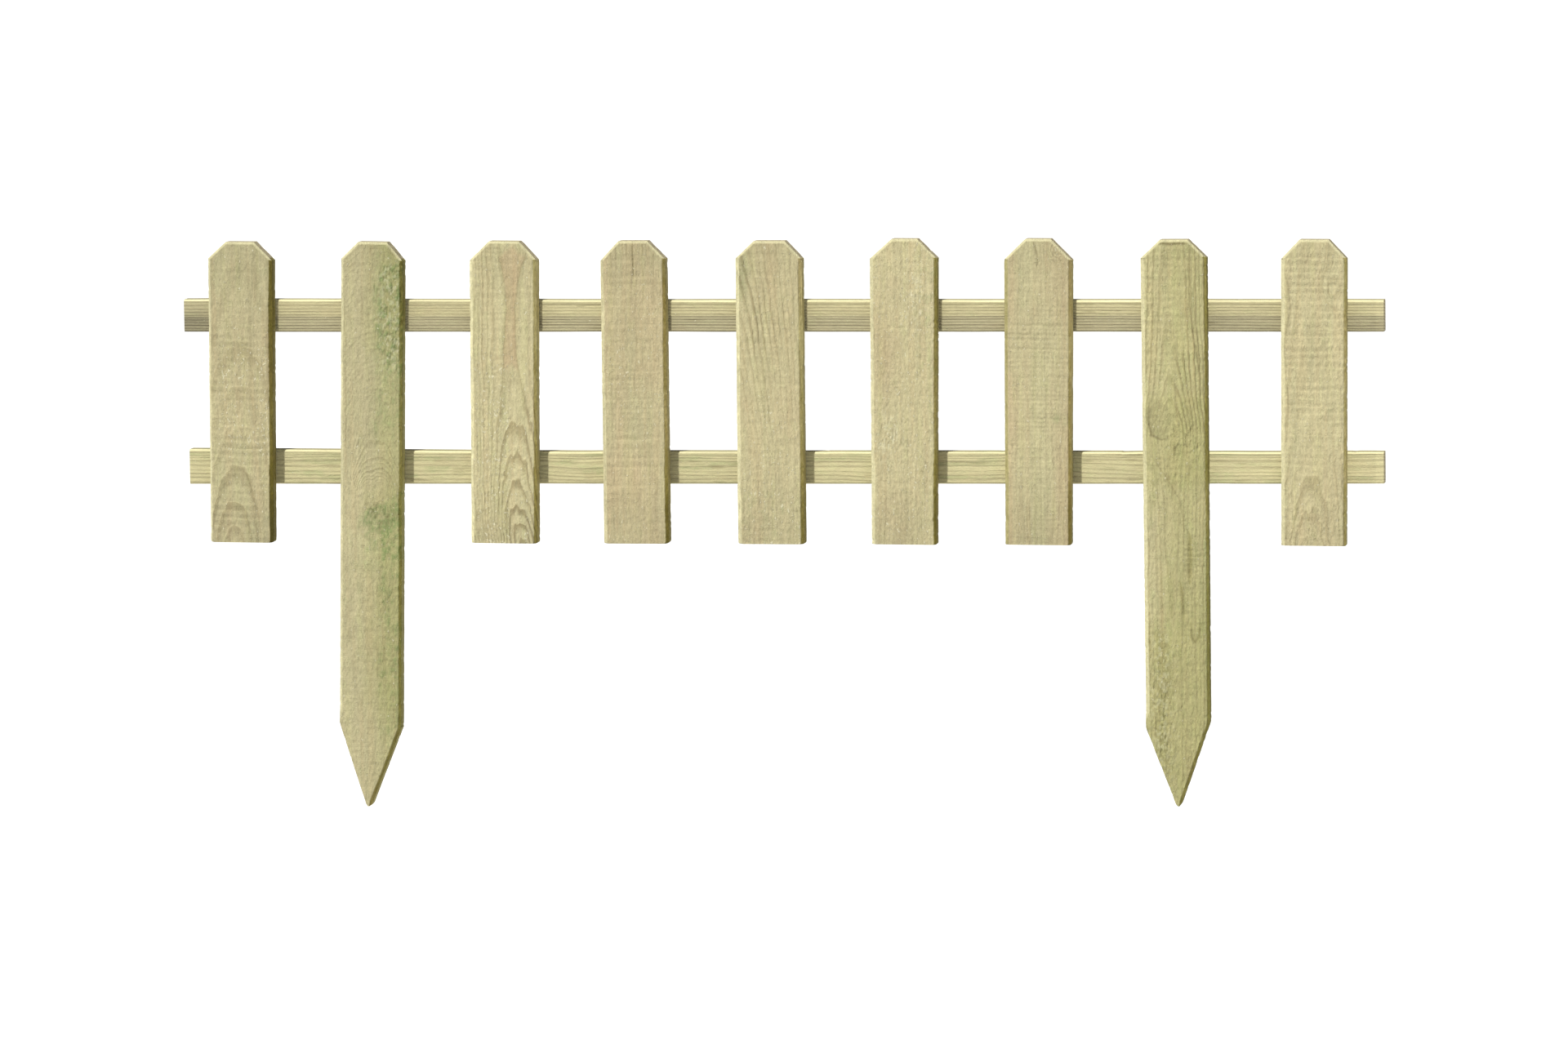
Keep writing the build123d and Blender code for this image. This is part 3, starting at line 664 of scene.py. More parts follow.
    def spread(front_values):
        grid = np.zeros((rows, n))
        grid[:, :FRONT_COLS] = front_values
        return np.concatenate([grid.ravel(), np.zeros(n_cap)])
    edge_mask = spread(np.clip(bevel / 1.0, 0, 1) * (1 - on_right))
    right_mask = spread(np.clip(bevel / 0.8, 0, 1) * on_right)
    h, v = local[:, 1], local[:, 2]
    sloping = v > top - min(s["left"][1], s["right"][1]) + 0.3
    cut = ((side_right + side_left) * sloping).clip(0, 1)
    if name in POINTS:
        cut = np.maximum(cut, side_left * ramp(v, point_top + 1, point_top - 4) * 0.5)
    end = np.maximum(cut, is_cap)
    near_rear = ramp(h, 12, 17)
    # painted shade: the right arris and right edge, which face away from the lamp, are made darker than the lamp alone
    # makes them, by height and in streaks
    arris_tone, side_tone = made_as["right"]
    at_foot, at_head = made_as["ends"]
    by_height = 1 + (at_foot - 1) * ramp(v, 110, 10) + (at_head - 1) * ramp(v, 130, 215)
    streaks = 1 + 0.30 * noise(h / 2.6, v / 90.0, seed=seed + 22) + 0.16 * fbm(h / 2.0, v / 9.0, seed=seed + 23)
    streaks = streaks * (1 - made_as["inner"] * ramp(h, 11, 5) * ramp(v, 90, 170) + 0.5 * made_as["inner"] * ramp(h, 9, 15) * ramp(v, 60, 150))
    mottled = 1 + 0.22 * fbm(local[:, 0] / 2.2, v / 6.0, seed=seed + 24)
    factor = 1 + right_mask * (arris_tone * mottled * by_height - 1) \
        + (side_right * (1 - cut)) * (side_tone * streaks * by_height - 1)
    factor = factor * (1 + cut * side_right * (0.14 * near_rear - 0.10 * ramp(h, 7, 3)))
    left_tone = made_as["left"]
    left_mask = spread(np.clip(bevel / 0.8, 0, 1) * ramp((xl + xr)[:, None] / 2 - cols, 6, 10) * (V < top - s["left"][1] + 1.0))
    factor = factor * (1 + left_mask * (left_tone * mottled - 1) * (left_tone != 1.0))
    tone = m["tone"] * is_front + m["tone"] * 0.4 * is_back
    attributes = {
        "ring": m["phase"],
        "stains": np.stack([np.clip(m["green"], 0, 1.4) * (0.5 + 0.5 * is_front), np.clip(m["pink"], 0, 1) * (0.25 + 0.75 * is_front),
                            np.clip(m["dark"], 0, 1) * is_front], 1),
        "surface": np.stack([edge_mask, end, np.clip(m["speck"], 0, 2) * (0.3 + 0.7 * is_front)], 1),
        # the face is painted up to 8% darker in the saw marks' hollows, as their shade
        "cast": np.stack([made_as["face"] * (1 + tone) * (1 - 0.08 * m["saw"] * is_front), factor,
                          np.maximum(np.maximum(side_right * (1 - cut), right_mask), left_mask * max(0.0, 1 - left_tone) * 1.2)], 1),
        "line": np.stack([m["ring_deep"] * (0.35 + 0.65 * is_front), is_back, m["rough"] * is_front], 1),
        "tint": np.stack([np.clip(m["olive"], 0, 1), np.clip(m["pale"], 0, 1) * is_front, is_cap], 1),
    }

    # into the shared frame
    a = math.radians(s["lean"])
    points = np.stack([s["x"] + local[:, 0] * math.cos(a) + local[:, 2] * math.sin(a), local[:, 1],
                       -local[:, 0] * math.sin(a) + local[:, 2] * math.cos(a)], 1)
    made = write_mesh(name + "_wood", points, faces, material, attributes)
    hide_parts(name)
    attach(made, "root")
    return made


# ----------------------------------------------------------------------- rails
# Heights of the dark late-wood lines where they cross the rails' front faces.
RAIL_RINGS = {
    "top_rail": (186.5, 190.0, 193.5, 196.0, 199.0, 201.7, 204.2, 206.4, 209.1, 212.1, 214.7, 218.3, 221.5, 225.0),
    "bottom_rail": (47.0, 51.0, 54.7, 59.0, 62.5, 66.0, 71.3, 75.9, 78.4, 80.6, 84.0, 88.0),
}


def rail_grain(name, x, z, y, m):
    rings = RAIL_RINGS[name]
    if name == "top_rail":
        w = z + 0.0006 * (x - 380) + 0.7 * noise(x / 230.0, z / 14.0, seed=2101) + 0.28 * noise(x / 60.0, z / 6.0, seed=2102) + 0.12 * y
        m["phase"] = np.interp(w, rings, np.arange(len(rings), dtype=float))
        lower = ramp(z + 0.8 * fbm(x / 90.0, 0.5, seed=2103), 208.5, 205.0)
        m["tone"] = 0.04 - 0.19 * lower + 0.025 * noise(x / 70.0, z / 3.0, seed=2104) - 0.035 * ramp(z, 196, 193) - 0.16 * ramp(x, -120, -165) * ramp(z, 216, 206) \
            - 0.15 * ramp(x, -125, -158) - 0.08 * ramp(x, 880, 905) * lower - 0.04 * band(x, 30, 95, 20) * (1 - lower) - 0.06 * band(x, 775, 838, 20) * lower
        m["grey"] = 0.65 * lower + 0.35 * ramp(x, -120, -150)
        m["dark"] = 0.40 * ramp(noise(x / 13.0, z / 0.8, seed=2105), 0.66, 0.92) * ramp(noise(x / 90.0, z / 9.0, seed=2106), 0.0, 0.5)
        for cx, cz, sx in ((652, 208.5, 8), (770, 200.0, 13), (300, 203.0, 9), (664, 210.0, 6), (210, 195.5, 7)):
            m["dark"] = m["dark"] + 0.5 * spot(x, z, cx, cz, sx, 0.55)
        m["ring_deep"] = (0.86 + 0.16 * lower) * (1 + 0.25 * noise(x / 55.0, z / 3.5, seed=2107))
        m["green"] = 0.05
    else:
        w = z - 0.002 * (x - 380) + 1.5 * noise(x / 160.0, z / 16.0, seed=2201) + 0.7 * noise(x / 48.0, z / 7.0, seed=2202) + 0.15 * y
        w = w + 2.4 * (spot(x, z, 195, 66, 26, 9) - spot(x, z, 640, 72, 40, 8) + 0.8 * spot(x, z, 470, 60, 30, 8))
        m["phase"] = np.interp(w, rings, np.arange(len(rings), dtype=float))
        m["tone"] = 0.11 + 0.03 * noise(x / 60.0, z / 4.0, seed=2204) + 0.02 * ramp(x, 200, 700) - 0.04 * ramp(z, 58, 55) \
            - 0.07 * band(x, 280, 342, 25) - 0.04 * band(x, 650, 712, 25)
        m["green"] = 0.14 + 0.35 * ramp(noise(x / 30.0, z / 4.0, seed=2205), 0.15, 0.7)
        m["dark"] = 0.38 * ramp(noise(x / 20.0, z / 0.9, seed=2206), 0.6, 0.95) + 0.5 * spot(x, z, -20, 57.4, 12, 0.6)
        m["ring_deep"] = 0.64


def rail(name, material):
    """One rail as a closed mesh of rings across its length."""
    s = RAILS[name]
    seed = 2000 if name == "top_rail" else 3000
    count = int(round((s["x1"] - s["x0"] - 2.0) / 1.8))
    xs = np.array([s["x0"], s["x0"] + 0.4] + list(np.linspace(s["x0"] + 1.0, s["x1"] - 1.0, count + 1)) + [s["x1"] - 0.4, s["x1"]])
    low = np.interp(xs, *np.array(s["low"]).T) + 0.2 + 0.25 * fbm(xs / 55.0, 0.2, seed=seed, octaves=4)
    high = np.interp(xs, *np.array(s["high"]).T) - 0.2 - 0.22 * fbm(xs / 48.0, 0.9, seed=seed + 1, octaves=4)
    high = high - 0.5 * ramp(noise(xs / 7.0, 0.4, seed=seed + 2), 0.6, 0.95)
    front_n, top_n, back_n = 46, 5, 16
    arris_top, arris_low = 2.0, 1.4
    k = 3
    height = high - low
    steps = np.arange(k + 1) / k
    inner = np.linspace(0, 1, front_n - 2 * k)[1:-1]
    Z = np.concatenate([
        low[:, None] + arris_low * steps[None, :],
        (low + arris_low)[:, None] + (height - arris_low - arris_top)[:, None] * inner[None, :],
        high[:, None] - arris_top * steps[None, ::-1],
    ], 1)
    X = np.broadcast_to(xs[:, None], Z.shape)
    bevel = np.maximum(0, np.maximum(arris_low - (Z - low[:, None]), arris_top + 0.2 * noise(X / 40.0, 0.1, seed=seed + 3) - (high[:, None] - Z)))

    def masks_at(x, z, yy):
        m = {key: np.zeros(np.shape(x)) for key in MASKS}
        m["grey"] = np.zeros(np.shape(x))
        rail_grain(name, x, z, yy, m)
        return {key: np.broadcast_to(np.asarray(v, float), np.shape(x)) for key, v in m.items()}

    m = masks_at(X, Z, bevel)
    rings = profile(m["phase"])
    relief = 0.24 * (1 - rings) * m["ring_deep"] + 0.4 * m["dark"] + 0.14 * (0.5 + 0.5 * fbm(X / 30.0, Z / 1.3, seed=seed + 4)) \
        + 0.10 * (0.5 + 0.5 * noise(X / 5.0, Z / 9.0, seed=seed + 5)) + 0.10 * (0.5 + 0.5 * fbm(X / 6.0, Z / 2.4, seed=seed + 14))
    Y = BOARD_T + 0.05 + bevel + relief * (1 - 0.5 * np.clip(bevel, 0, 1))
    front = np.stack([X, Y, Z], -1)

    share = np.linspace(0, 1, back_n)
    bz = low[:, None] + height[:, None] * share[None, :]
    bx = np.broadcast_to(xs[:, None], bz.shape)
    back_bevel = np.maximum(0, 1.4 - np.minimum(bz - low[:, None], high[:, None] - bz))
    by = BOARD_T + RAIL_T - 0.30 - back_bevel - 0.22 * sawn(bz, bx, 7.0, 0.05, seed + 6) - 0.14 * (0.5 + 0.5 * fbm(bx / 30.0, bz / 2.0, seed=seed + 7))
    back = np.stack([bx, by, bz], -1)
    t = np.linspace(0, 1, top_n + 2)[1:-1]

    def edge(f, b, sign, n_seed):
        pts = f[:, None] + (b - f)[:, None] * t[None, :, None]
        pts[..., 2] -= sign * 0.16 * (0.5 + 0.5 * fbm(pts[..., 0] / 26.0, pts[..., 1] / 2.2, seed=n_seed))
        return pts
    upper, lower = edge(front[:, -1], back[:, -1], 1, seed + 8), edge(front[:, 0], back[:, 0], -1, seed + 9)
    ring = np.concatenate([front, upper, back[:, ::-1], lower[:, ::-1]], 1)
    rows, n = ring.shape[:2]
    idx = np.arange(rows * n).reshape(rows, n)
    nxt = np.roll(idx, -1, 1)
    faces = np.stack([idx[:-1], idx[1:], nxt[1:], nxt[:-1]], -1).reshape(-1, 4).tolist()
    points = ring.reshape(-1, 3)
    cap_points = []
    for r, to_right in ((0, False), (rows - 1, True)):
        pts, cap_faces = end_cap(ring[r], idx[r], front_n, top_n, back_n, 2, 0,
                                 len(points) + sum(len(p) for p in cap_points))
        dent = 0.22 * (0.5 + 0.5 * fbm(pts[:, 2] / 2.0, pts[:, 1] / 2.0, seed=seed + 19))
        pts[:, 0] += -dent if to_right else dent
        cap_points.append(pts)
        faces += [tuple(reversed(f)) for f in cap_faces] if to_right else cap_faces
    caps = np.concatenate(cap_points)
    n_cap = len(caps)
    points = np.concatenate([points, caps])
    m = masks_at(points[:, 0], points[:, 2], np.clip(points[:, 1] - BOARD_T, 0, RAIL_T))

    def spread(values, first, last, cap_value=0.0):
        grid = np.zeros((rows, n))
        grid[:, first:last] = values
        return np.concatenate([grid.ravel(), np.full(n_cap, cap_value)])
    is_front = spread(1.0, 0, front_n)
    is_back = spread(1.0, front_n + top_n, front_n + top_n + back_n)
    is_top = spread(1.0, front_n, front_n + top_n)
    is_cap = np.concatenate([np.zeros(rows * n), np.ones(n_cap)])
    on_arris = np.clip(bevel / 0.8, 0, 1) * (Z > (low + high)[:, None] / 2)
    on_low = np.clip(bevel / 0.8, 0, 1) * (Z < (low + high)[:, None] / 2)
    edge_mask = spread(on_arris, 0, front_n)
    # the planed arris is bright, partly its own paler colour and partly a painted highlight, with a dark line along its
    # upper edge and another just below it; the bottom rail's lower arris is painted lighter, as light bounced up from
    # the floor
    lift, line_darkness, low_lift = (0.38, 0.36, 0.0) if name == "top_rail" else (0.25, 0.42, 0.22)
    dark_streaks = np.zeros((rows, front_n))
    dark_streaks[:, -1] = line_darkness * (1 + 0.5 * noise(xs / 18.0, 0.5, seed=seed + 12))
    factor = spread((1 + lift * on_arris + low_lift * on_low) * (1 - dark_streaks) - 1, 0, front_n) + 1
    below = 0.15 * np.exp(-(((high[:, None] - Z) - arris_top - 0.7) / 0.6) ** 2)
    bright = (1 + 0.10 * ramp(points[:, 0], s["x1"] - 8, s["x1"] - 6)) * (1 + m["tone"] * (0.4 + 0.6 * is_front)) * (1 - spread(below, 0, front_n))
    bright = bright * (1 - 0.10 * is_top)
    attributes = {
        "ring": m["phase"],
        "stains": np.stack([m["green"], m["grey"], np.clip(m["dark"], 0, 1) * is_front], 1),
        "surface": np.stack([edge_mask, is_cap, 0.15 * np.ones(len(points))], 1),
        "cast": np.stack([bright, factor, np.zeros(len(points))], 1),
        "line": np.stack([m["ring_deep"], is_back, np.zeros(len(points))], 1),
        "tint": np.stack([np.zeros(len(points)), np.zeros(len(points)), is_cap], 1),
    }
    made = write_mesh(name + "_wood", points, faces, material, attributes)
    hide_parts(name)
    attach(made, "root")
    return made


# --------------------------------------------------------------------- staples
def staples(name, rail_name, material):
    """Two wire staples through the rail's back into each board, as one mesh."""
    s = RAILS[rail_name]
    points, faces = [], []
    for n, (board_name, b) in enumerate(BOARDS.items()):
        mid_z = (np.interp(b["x"], *np.array(s["low"]).T) + np.interp(b["x"], *np.array(s["high"]).T)) / 2
        mid_x = b["x"] + mid_z * math.tan(math.radians(b["lean"]))
        for side in (-1, 1):
            r = [float(lattice(np.array([n]), np.array([side + 2]), np.array([q]), 77 if rail_name == "top_rail" else 78)[0]) for q in range(4)]
            cx, cz = mid_x + side * (13 + 4 * (r[0] - 0.5)), mid_z + side * (5.5 + 2.5 * (r[1] - 0.5))
            turn = math.radians(side * -8 + 22 * (r[2] - 0.5))
            sink = 0.18 * r[3]
            half = 5.0
            path = [(-half, 32.5), (-half, 34.9)]
            path += [(-half + 0.9 * (1 - math.cos(q)), 34.9 + 0.72 * math.sin(q)) for q in (math.pi / 6, math.pi / 3, math.pi / 2)]
            path += [(-half + 2.6, 35.63), (0, 35.65), (half - 2.6, 35.63)]
            path += [(half - 0.9 * (1 - math.cos(q)), 34.9 + 0.72 * math.sin(q)) for q in (math.pi / 2, math.pi / 3, math.pi / 6)]
            path += [(half, 34.9), (half, 32.5)]
            start = len(points)
            for i, (a, d) in enumerate(path):
                before, after = path[max(i - 1, 0)], path[min(i + 1, len(path) - 1)]
                ta, td = after[0] - before[0], after[1] - before[1]
                length = math.hypot(ta, td)
                na, nd = -td / length, ta / length
                for q in range(8):
                    angle = math.pi / 8 + q * math.pi / 4
                    flat, across = 0.33 * math.cos(angle) / math.cos(math.pi / 8), 0.62 * math.sin(angle) / math.cos(math.pi / 8)
                    la, ly = a + na * flat, d + nd * flat - sink
                    points.append((cx + la * math.cos(turn) - across * math.sin(turn), ly, cz + la * math.sin(turn) + across * math.cos(turn)))
            for i in range(len(path) - 1):
                for q in range(8):
                    a0, a1 = start + i * 8 + q, start + i * 8 + (q + 1) % 8
                    faces.append((a0, a1, a1 + 8, a0 + 8))
            faces.append(tuple(start + q for q in range(7, -1, -1)))
            faces.append(tuple(start + (len(path) - 1) * 8 + q for q in range(8)))
    points = np.array(points)
    made = write_mesh(name, points, faces, material, {})
    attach(made, "root")
    return made


# ------------------------------------------------------------------- materials
class Tree:
    """Short names for building a node tree."""

    def __init__(self, name):
        self.material = bpy.data.materials.new(name)
        self.material.use_nodes = True
        self.tree = self.material.node_tree
        self.tree.nodes.clear()

    def add(self, kind, **values):
        node = self.tree.nodes.new(kind)
        for key, value in values.items():
            setattr(node, key, value)
        return node

    def put(self, socket, value):
        if isinstance(value, bpy.types.NodeSocket):
            self.tree.links.new(value, socket)
        else:
            socket.default_value = value

    def attribute(self, name):
        node = self.add("ShaderNodeAttribute", attribute_name=name)
        return node

    def parts(self, name):
        split = self.add("ShaderNodeSeparateXYZ")
        self.put(split.inputs[0], self.attribute(name).outputs["Vector"])
        return split.outputs

    def math(self, operation, a, b=0.0, c=0.0, clamp=False):
        node = self.add("ShaderNodeMath", operation=operation, use_clamp=clamp)
        for socket, value in zip(node.inputs, (a, b, c)):
            self.put(socket, value)
        return node.outputs[0]

    def span(self, value, a, b, to_a=0.0, to_b=1.0, smooth=True):
        node = self.add("ShaderNodeMapRange", interpolation_type="SMOOTHSTEP" if smooth else "LINEAR")
        for socket, given in zip(node.inputs[:5], (value, a, b, to_a, to_b)):
            self.put(socket, given)
        return node.outputs[0]

    def scaled(self, factors):
        node = self.add("ShaderNodeVectorMath", operation="MULTIPLY")
        self.put(node.inputs[0], self.coords)
        node.inputs[1].default_value = factors
        return node.outputs[0]

    def noise(self, vector, scale, detail=3.0, rough=0.55, distort=0.0):
        node = self.add("ShaderNodeTexNoise")
        self.put(node.inputs["Vector"], vector)
        node.inputs["Scale"].default_value = scale
        node.inputs["Detail"].default_value = detail
        node.inputs["Roughness"].default_value = rough
        node.inputs["Distortion"].default_value = distort
        return node.outputs["Fac"]

    def flecks(self, vector, scale, amount, rare=0.72, common=0.60):
        """Small uneven flecks, more of them where amount is higher."""
        value = self.noise(vector, scale, 1.5, 0.5)
        start = self.span(amount, 0.0, 1.6, rare, common, smooth=False)
        return self.span(self.math("SUBTRACT", value, start), 0.0, 0.05)

    def mix(self, kind, factor, a, b):
        node = self.add("ShaderNodeMix", data_type="RGBA", blend_type=kind)
        self.put(node.inputs[0], factor)
        self.put(node.inputs[6], a)
        self.put(node.inputs[7], b)
        return node.outputs[2]

    def tint(self, colour, factor):
        """colour times a number."""
        join = self.add("ShaderNodeCombineXYZ")
        for socket in join.inputs:
            self.put(socket, factor)
        return self.mix("MULTIPLY", 1.0, colour, join.outputs[0])


def wood(name, along, early, late, ring_strength, uneven):
    """Sawn, pressure-treated softwood. along is the axis that the grain follows;
    uneven is how faint the faintest ring is against the strongest."""
    t = Tree(name)
    t.coords = t.add("ShaderNodeTexCoord").outputs["Object"]
    ring = t.attribute("ring").outputs["Fac"]
    green, pink, dark = t.parts("stains")
    arris, end, speck = t.parts("surface")
    bright, side_tone, side = t.parts("cast")
    deep, back, rough_spot = t.parts("line")
    olive, pale, cap = t.parts("tint")
    stretch = [1.0, 1.0, 1.0]
    stretch[along] = 0.05
    fibre_v = t.scaled(stretch)
    fibre = t.noise(fibre_v, 900.0, 4.0, 0.6)
    streak = t.noise(fibre_v, 240.0, 3.0, 0.6)
    slow = [1.0, 1.0, 1.0]
    slow[along] = 0.45
    patch = t.noise(t.scaled(slow), 60.0, 4.0, 0.6)
    slow[along] = 0.6
    mottle = t.noise(t.scaled(slow), 300.0, 4.0, 0.62)
    cloud = t.noise(t.scaled(slow), 130.0, 2.0, 0.5)
    white_dots = t.flecks(t.scaled([0.8 * f for f in slow]), 620.0, speck)
    dark_dots = t.flecks(t.scaled([1.13 * f for f in slow]), 430.0, t.math("ADD", speck, rough_spot), 0.74, 0.64)
    across = [1.0, 1.0, 1.0]
    across[2 - along] = 0.16
    scuff = t.noise(t.scaled(across), 520.0, 3.0, 0.6)
    slow[along] = 0.50
    crinkle = t.noise(t.scaled(slow), 700.0, 3.0, 0.62, 0.9)
    slow[along] = 0.10
    hairs = t.noise(t.scaled(slow), 800.0, 2.0, 0.5)
    slow[along] = 0.05
    stripe = t.noise(t.scaled(slow), 170.0, 2.0, 0.5)
    # lines that follow the rings, finer than one ring
    finer = t.add("ShaderNodeCombineXYZ")
    t.put(finer.inputs[0], t.math("MULTIPLY", ring, 2.3))
    split = t.add("ShaderNodeSeparateXYZ")
    t.put(split.inputs[0], t.coords)
    t.put(finer.inputs[1], t.math("MULTIPLY", split.outputs[along], 9.0))
    subline = t.noise(finer.outputs[0], 1.0, 3.0, 0.6)
    wave = t.math("FRACT", t.math("ADD", ring, t.math("MULTIPLY", t.math("SUBTRACT", subline, 0.5), 0.20)))
    line = t.math("MULTIPLY", t.span(wave, 0.42, 0.84), t.span(wave, 0.90, 1.0, 1.0, 0.0))
    rim = t.math("MULTIPLY", t.span(wave, 0.86, 0.93), t.span(wave, 0.95, 1.0, 1.0, 0.0))
    number = t.add("ShaderNodeTexWhiteNoise", noise_dimensions="1D")
    t.put(number.inputs["W"], t.math("FLOOR", t.math("ADD", ring, 0.02)))
    least = t.span(deep, 0.9, 1.5, uneven, 0.8)
    fade = t.math("MULTIPLY", t.span(patch, 0.3, 0.6, 0.6, 1.0), t.math("ADD", least, t.math("MULTIPLY", t.math("SUBTRACT", 1.0, least), number.outputs["Value"])))
    line = t.math("MULTIPLY", t.math("MULTIPLY", line, fade), t.span(deep, 0.0, 1.7, 0.15, 1.7, smooth=False))

    colour = t.mix("MIX", t.math("MULTIPLY", line, ring_strength, clamp=True), early, late)
    # fibres, mottling and clouds of tone
    shade = t.math("ADD", t.span(fibre, 0.25, 0.75, 0.92, 1.08, smooth=False), t.span(streak, 0.3, 0.7, -0.06, 0.06, smooth=False))
    calm = 1.0 if along == 2 else 0.55        # the rails are smoother than the boards
    shade = t.math("ADD", shade, t.span(crinkle, 0.3, 0.7, -0.11 * calm, 0.11 * calm, smooth=False))
    shade = t.math("ADD", shade, t.span(subline, 0.3, 0.7, 0.045, -0.045, smooth=False))
    shade = t.math("ADD", shade, t.span(mottle, 0.3, 0.7, -0.085 * calm, 0.085 * calm, smooth=False))
    shade = t.math("ADD", shade, t.span(cloud, 0.3, 0.7, -0.04, 0.04, smooth=False))
    shade = t.math("ADD", shade, t.span(patch, 0.3, 0.7, -0.04, 0.04, smooth=False))
    colour = t.tint(colour, t.math("MULTIPLY", shade, bright))
    if along == 2:
        colour = t.mix("MIX", t.math("MULTIPLY", pink, 0.75), colour, t.mix("MULTIPLY", 1.0, colour, (1.07, 0.935, 0.96, 1.0)))
        # long stripes, some pinker and some yellower
        colour = t.mix("MIX", t.span(stripe, 0.50, 0.66, 0.0, 0.7), colour, t.mix("MULTIPLY", 1.0, colour, (1.01, 0.97, 0.95, 1.0)))
        colour = t.mix("MIX", t.span(stripe, 0.48, 0.34, 0.0, 0.7), colour, t.mix("MULTIPLY", 1.0, colour, (1.01, 1.03, 0.97, 1.0)))
    else:
        colour = t.mix("MIX", pink, colour, t.mix("MULTIPLY", 1.0, colour, (0.94, 0.94, 1.03, 1.0)))
    # faint patches greener and pinker than the rest
    colour = t.mix("MIX", t.span(cloud, 0.52, 0.72, 0.0, 0.5), colour, t.mix("MULTIPLY", 1.0, colour, (0.95, 1.0, 0.95, 1.0)))
    colour = t.mix("MIX", t.span(patch, 0.48, 0.28, 0.0, 0.5), colour, t.mix("MULTIPLY", 1.0, colour, (1.03, 0.975, 0.97, 1.0)))
    colour = t.mix("MIX", olive, colour, t.mix("MULTIPLY", 1.0, colour, (0.84, 0.87, 0.66, 1.0)))
    mott = t.span(mottle, 0.36, 0.62)
    stain = t.math("MULTIPLY", green, t.math("ADD", t.math("MULTIPLY", mott, 0.6), 0.4), clamp=True)
    colour = t.mix("MIX", stain, colour, t.mix("MULTIPLY", 1.0, colour, (0.54, 0.70, 0.56, 1.0)))
    colour = t.mix("MIX", t.math("MULTIPLY", dark, t.span(fibre, 0.2, 0.7, 0.7, 1.0, smooth=False)), colour, (0.115, 0.09, 0.036, 1.0))
    colour = t.mix("MIX", t.math("MULTIPLY", pale, 0.5), colour, (0.60, 0.59, 0.40, 1.0))
    # a paler rim along one edge of each ring line: a painted highlight, as on the lit edge of a raised ring
    colour = t.mix("MIX", t.math("MULTIPLY", rim, t.span(deep, 0.3, 1.7, 0.0, 0.45, smooth=False)), colour, t.tint(early, 1.18))
    colour = t.mix("MIX", t.math("MULTIPLY", white_dots, 0.5), colour, (0.60, 0.565, 0.39, 1.0))
    colour = t.mix("MIX", t.math("MULTIPLY", dark_dots, 0.35), colour, (0.19, 0.165, 0.08, 1.0))
    # planed arrises are paler, partly their own colour and partly a painted highlight; the sawn edges browner, and on
    # the boards' right painted darker and browner as shade; the cut ends warmer
    colour = t.mix("MIX", t.math("MULTIPLY", arris, 0.62), colour, t.tint((0.595, 0.555, 0.330, 1.0), shade))
    colour = t.mix("MIX", side, colour, t.mix("MULTIPLY", 1.0, colour, (0.98, 0.94, 0.56, 1.0)))
    browner = t.add("ShaderNodeCombineXYZ")   # the darker an edge's painted shade, the browner
    browner.inputs[0].default_value = 1.0
    t.put(browner.inputs[1], t.span(side_tone, 0.28, 1.0, 0.94, 1.0, smooth=False))
    t.put(browner.inputs[2], t.span(side_tone, 0.28, 1.0, 0.30, 1.28, smooth=False))
    colour = t.mix("MIX", side, colour, t.mix("MULTIPLY", 1.0, colour, browner.outputs[0]))
    # multiplies in the painted shade on the boards' right edges and the painted highlight on the rails' arrises
    colour = t.tint(colour, side_tone)
    end_grain = t.mix("MIX", t.math("MULTIPLY", t.span(wave, 0.4, 0.9), 0.6), (0.47, 0.40, 0.26, 1.0), (0.30, 0.24, 0.14, 1.0))
    colour = t.mix("MIX", t.math("MULTIPLY", end, 0.7), colour, t.tint(end_grain, t.math("MULTIPLY", shade, side_tone)))

    shader = t.add("ShaderNodeBsdfPrincipled")
    t.put(shader.inputs["Base Color"], colour)
    t.put(shader.inputs["Roughness"], t.math("ADD", 0.74, t.math("MULTIPLY", fibre, 0.2)))
    shader.inputs["Specular IOR Level"].default_value = 0.25
    bump = t.add("ShaderNodeBump")
    bump.inputs["Strength"].default_value = 1.0
    bump.inputs["Distance"].default_value = 0.0008
    # hairs along the grain in some places, scuffs across it in others
    height = t.math("ADD", t.math("MULTIPLY", hairs, t.span(patch, 0.56, 0.44, 0.12, 0.50)), t.math("MULTIPLY", line, 0.30))
    height = t.math("ADD", height, t.math("MULTIPLY", mottle, 0.50 * calm))
    height = t.math("ADD", height, t.math("MULTIPLY", scuff, t.span(patch, 0.46, 0.60, 0.06 * calm, 0.50 * calm)))
    height = t.math("ADD", height, t.math("MULTIPLY", crinkle, t.span(cloud, 0.36, 0.60, 0.70 * calm, 1.30 * calm)))
    height = t.math("ADD", height, t.math("MULTIPLY", white_dots, 0.35))
    height = t.math("ADD", height, t.math("MULTIPLY", t.math("MULTIPLY", mottle, rough_spot), 1.4))
    t.put(bump.inputs["Height"], height)
    t.put(shader.inputs["Normal"], bump.outputs[0])
    out = t.add("ShaderNodeOutputMaterial")
    t.put(out.inputs["Surface"], shader.outputs[0])
    return t.material


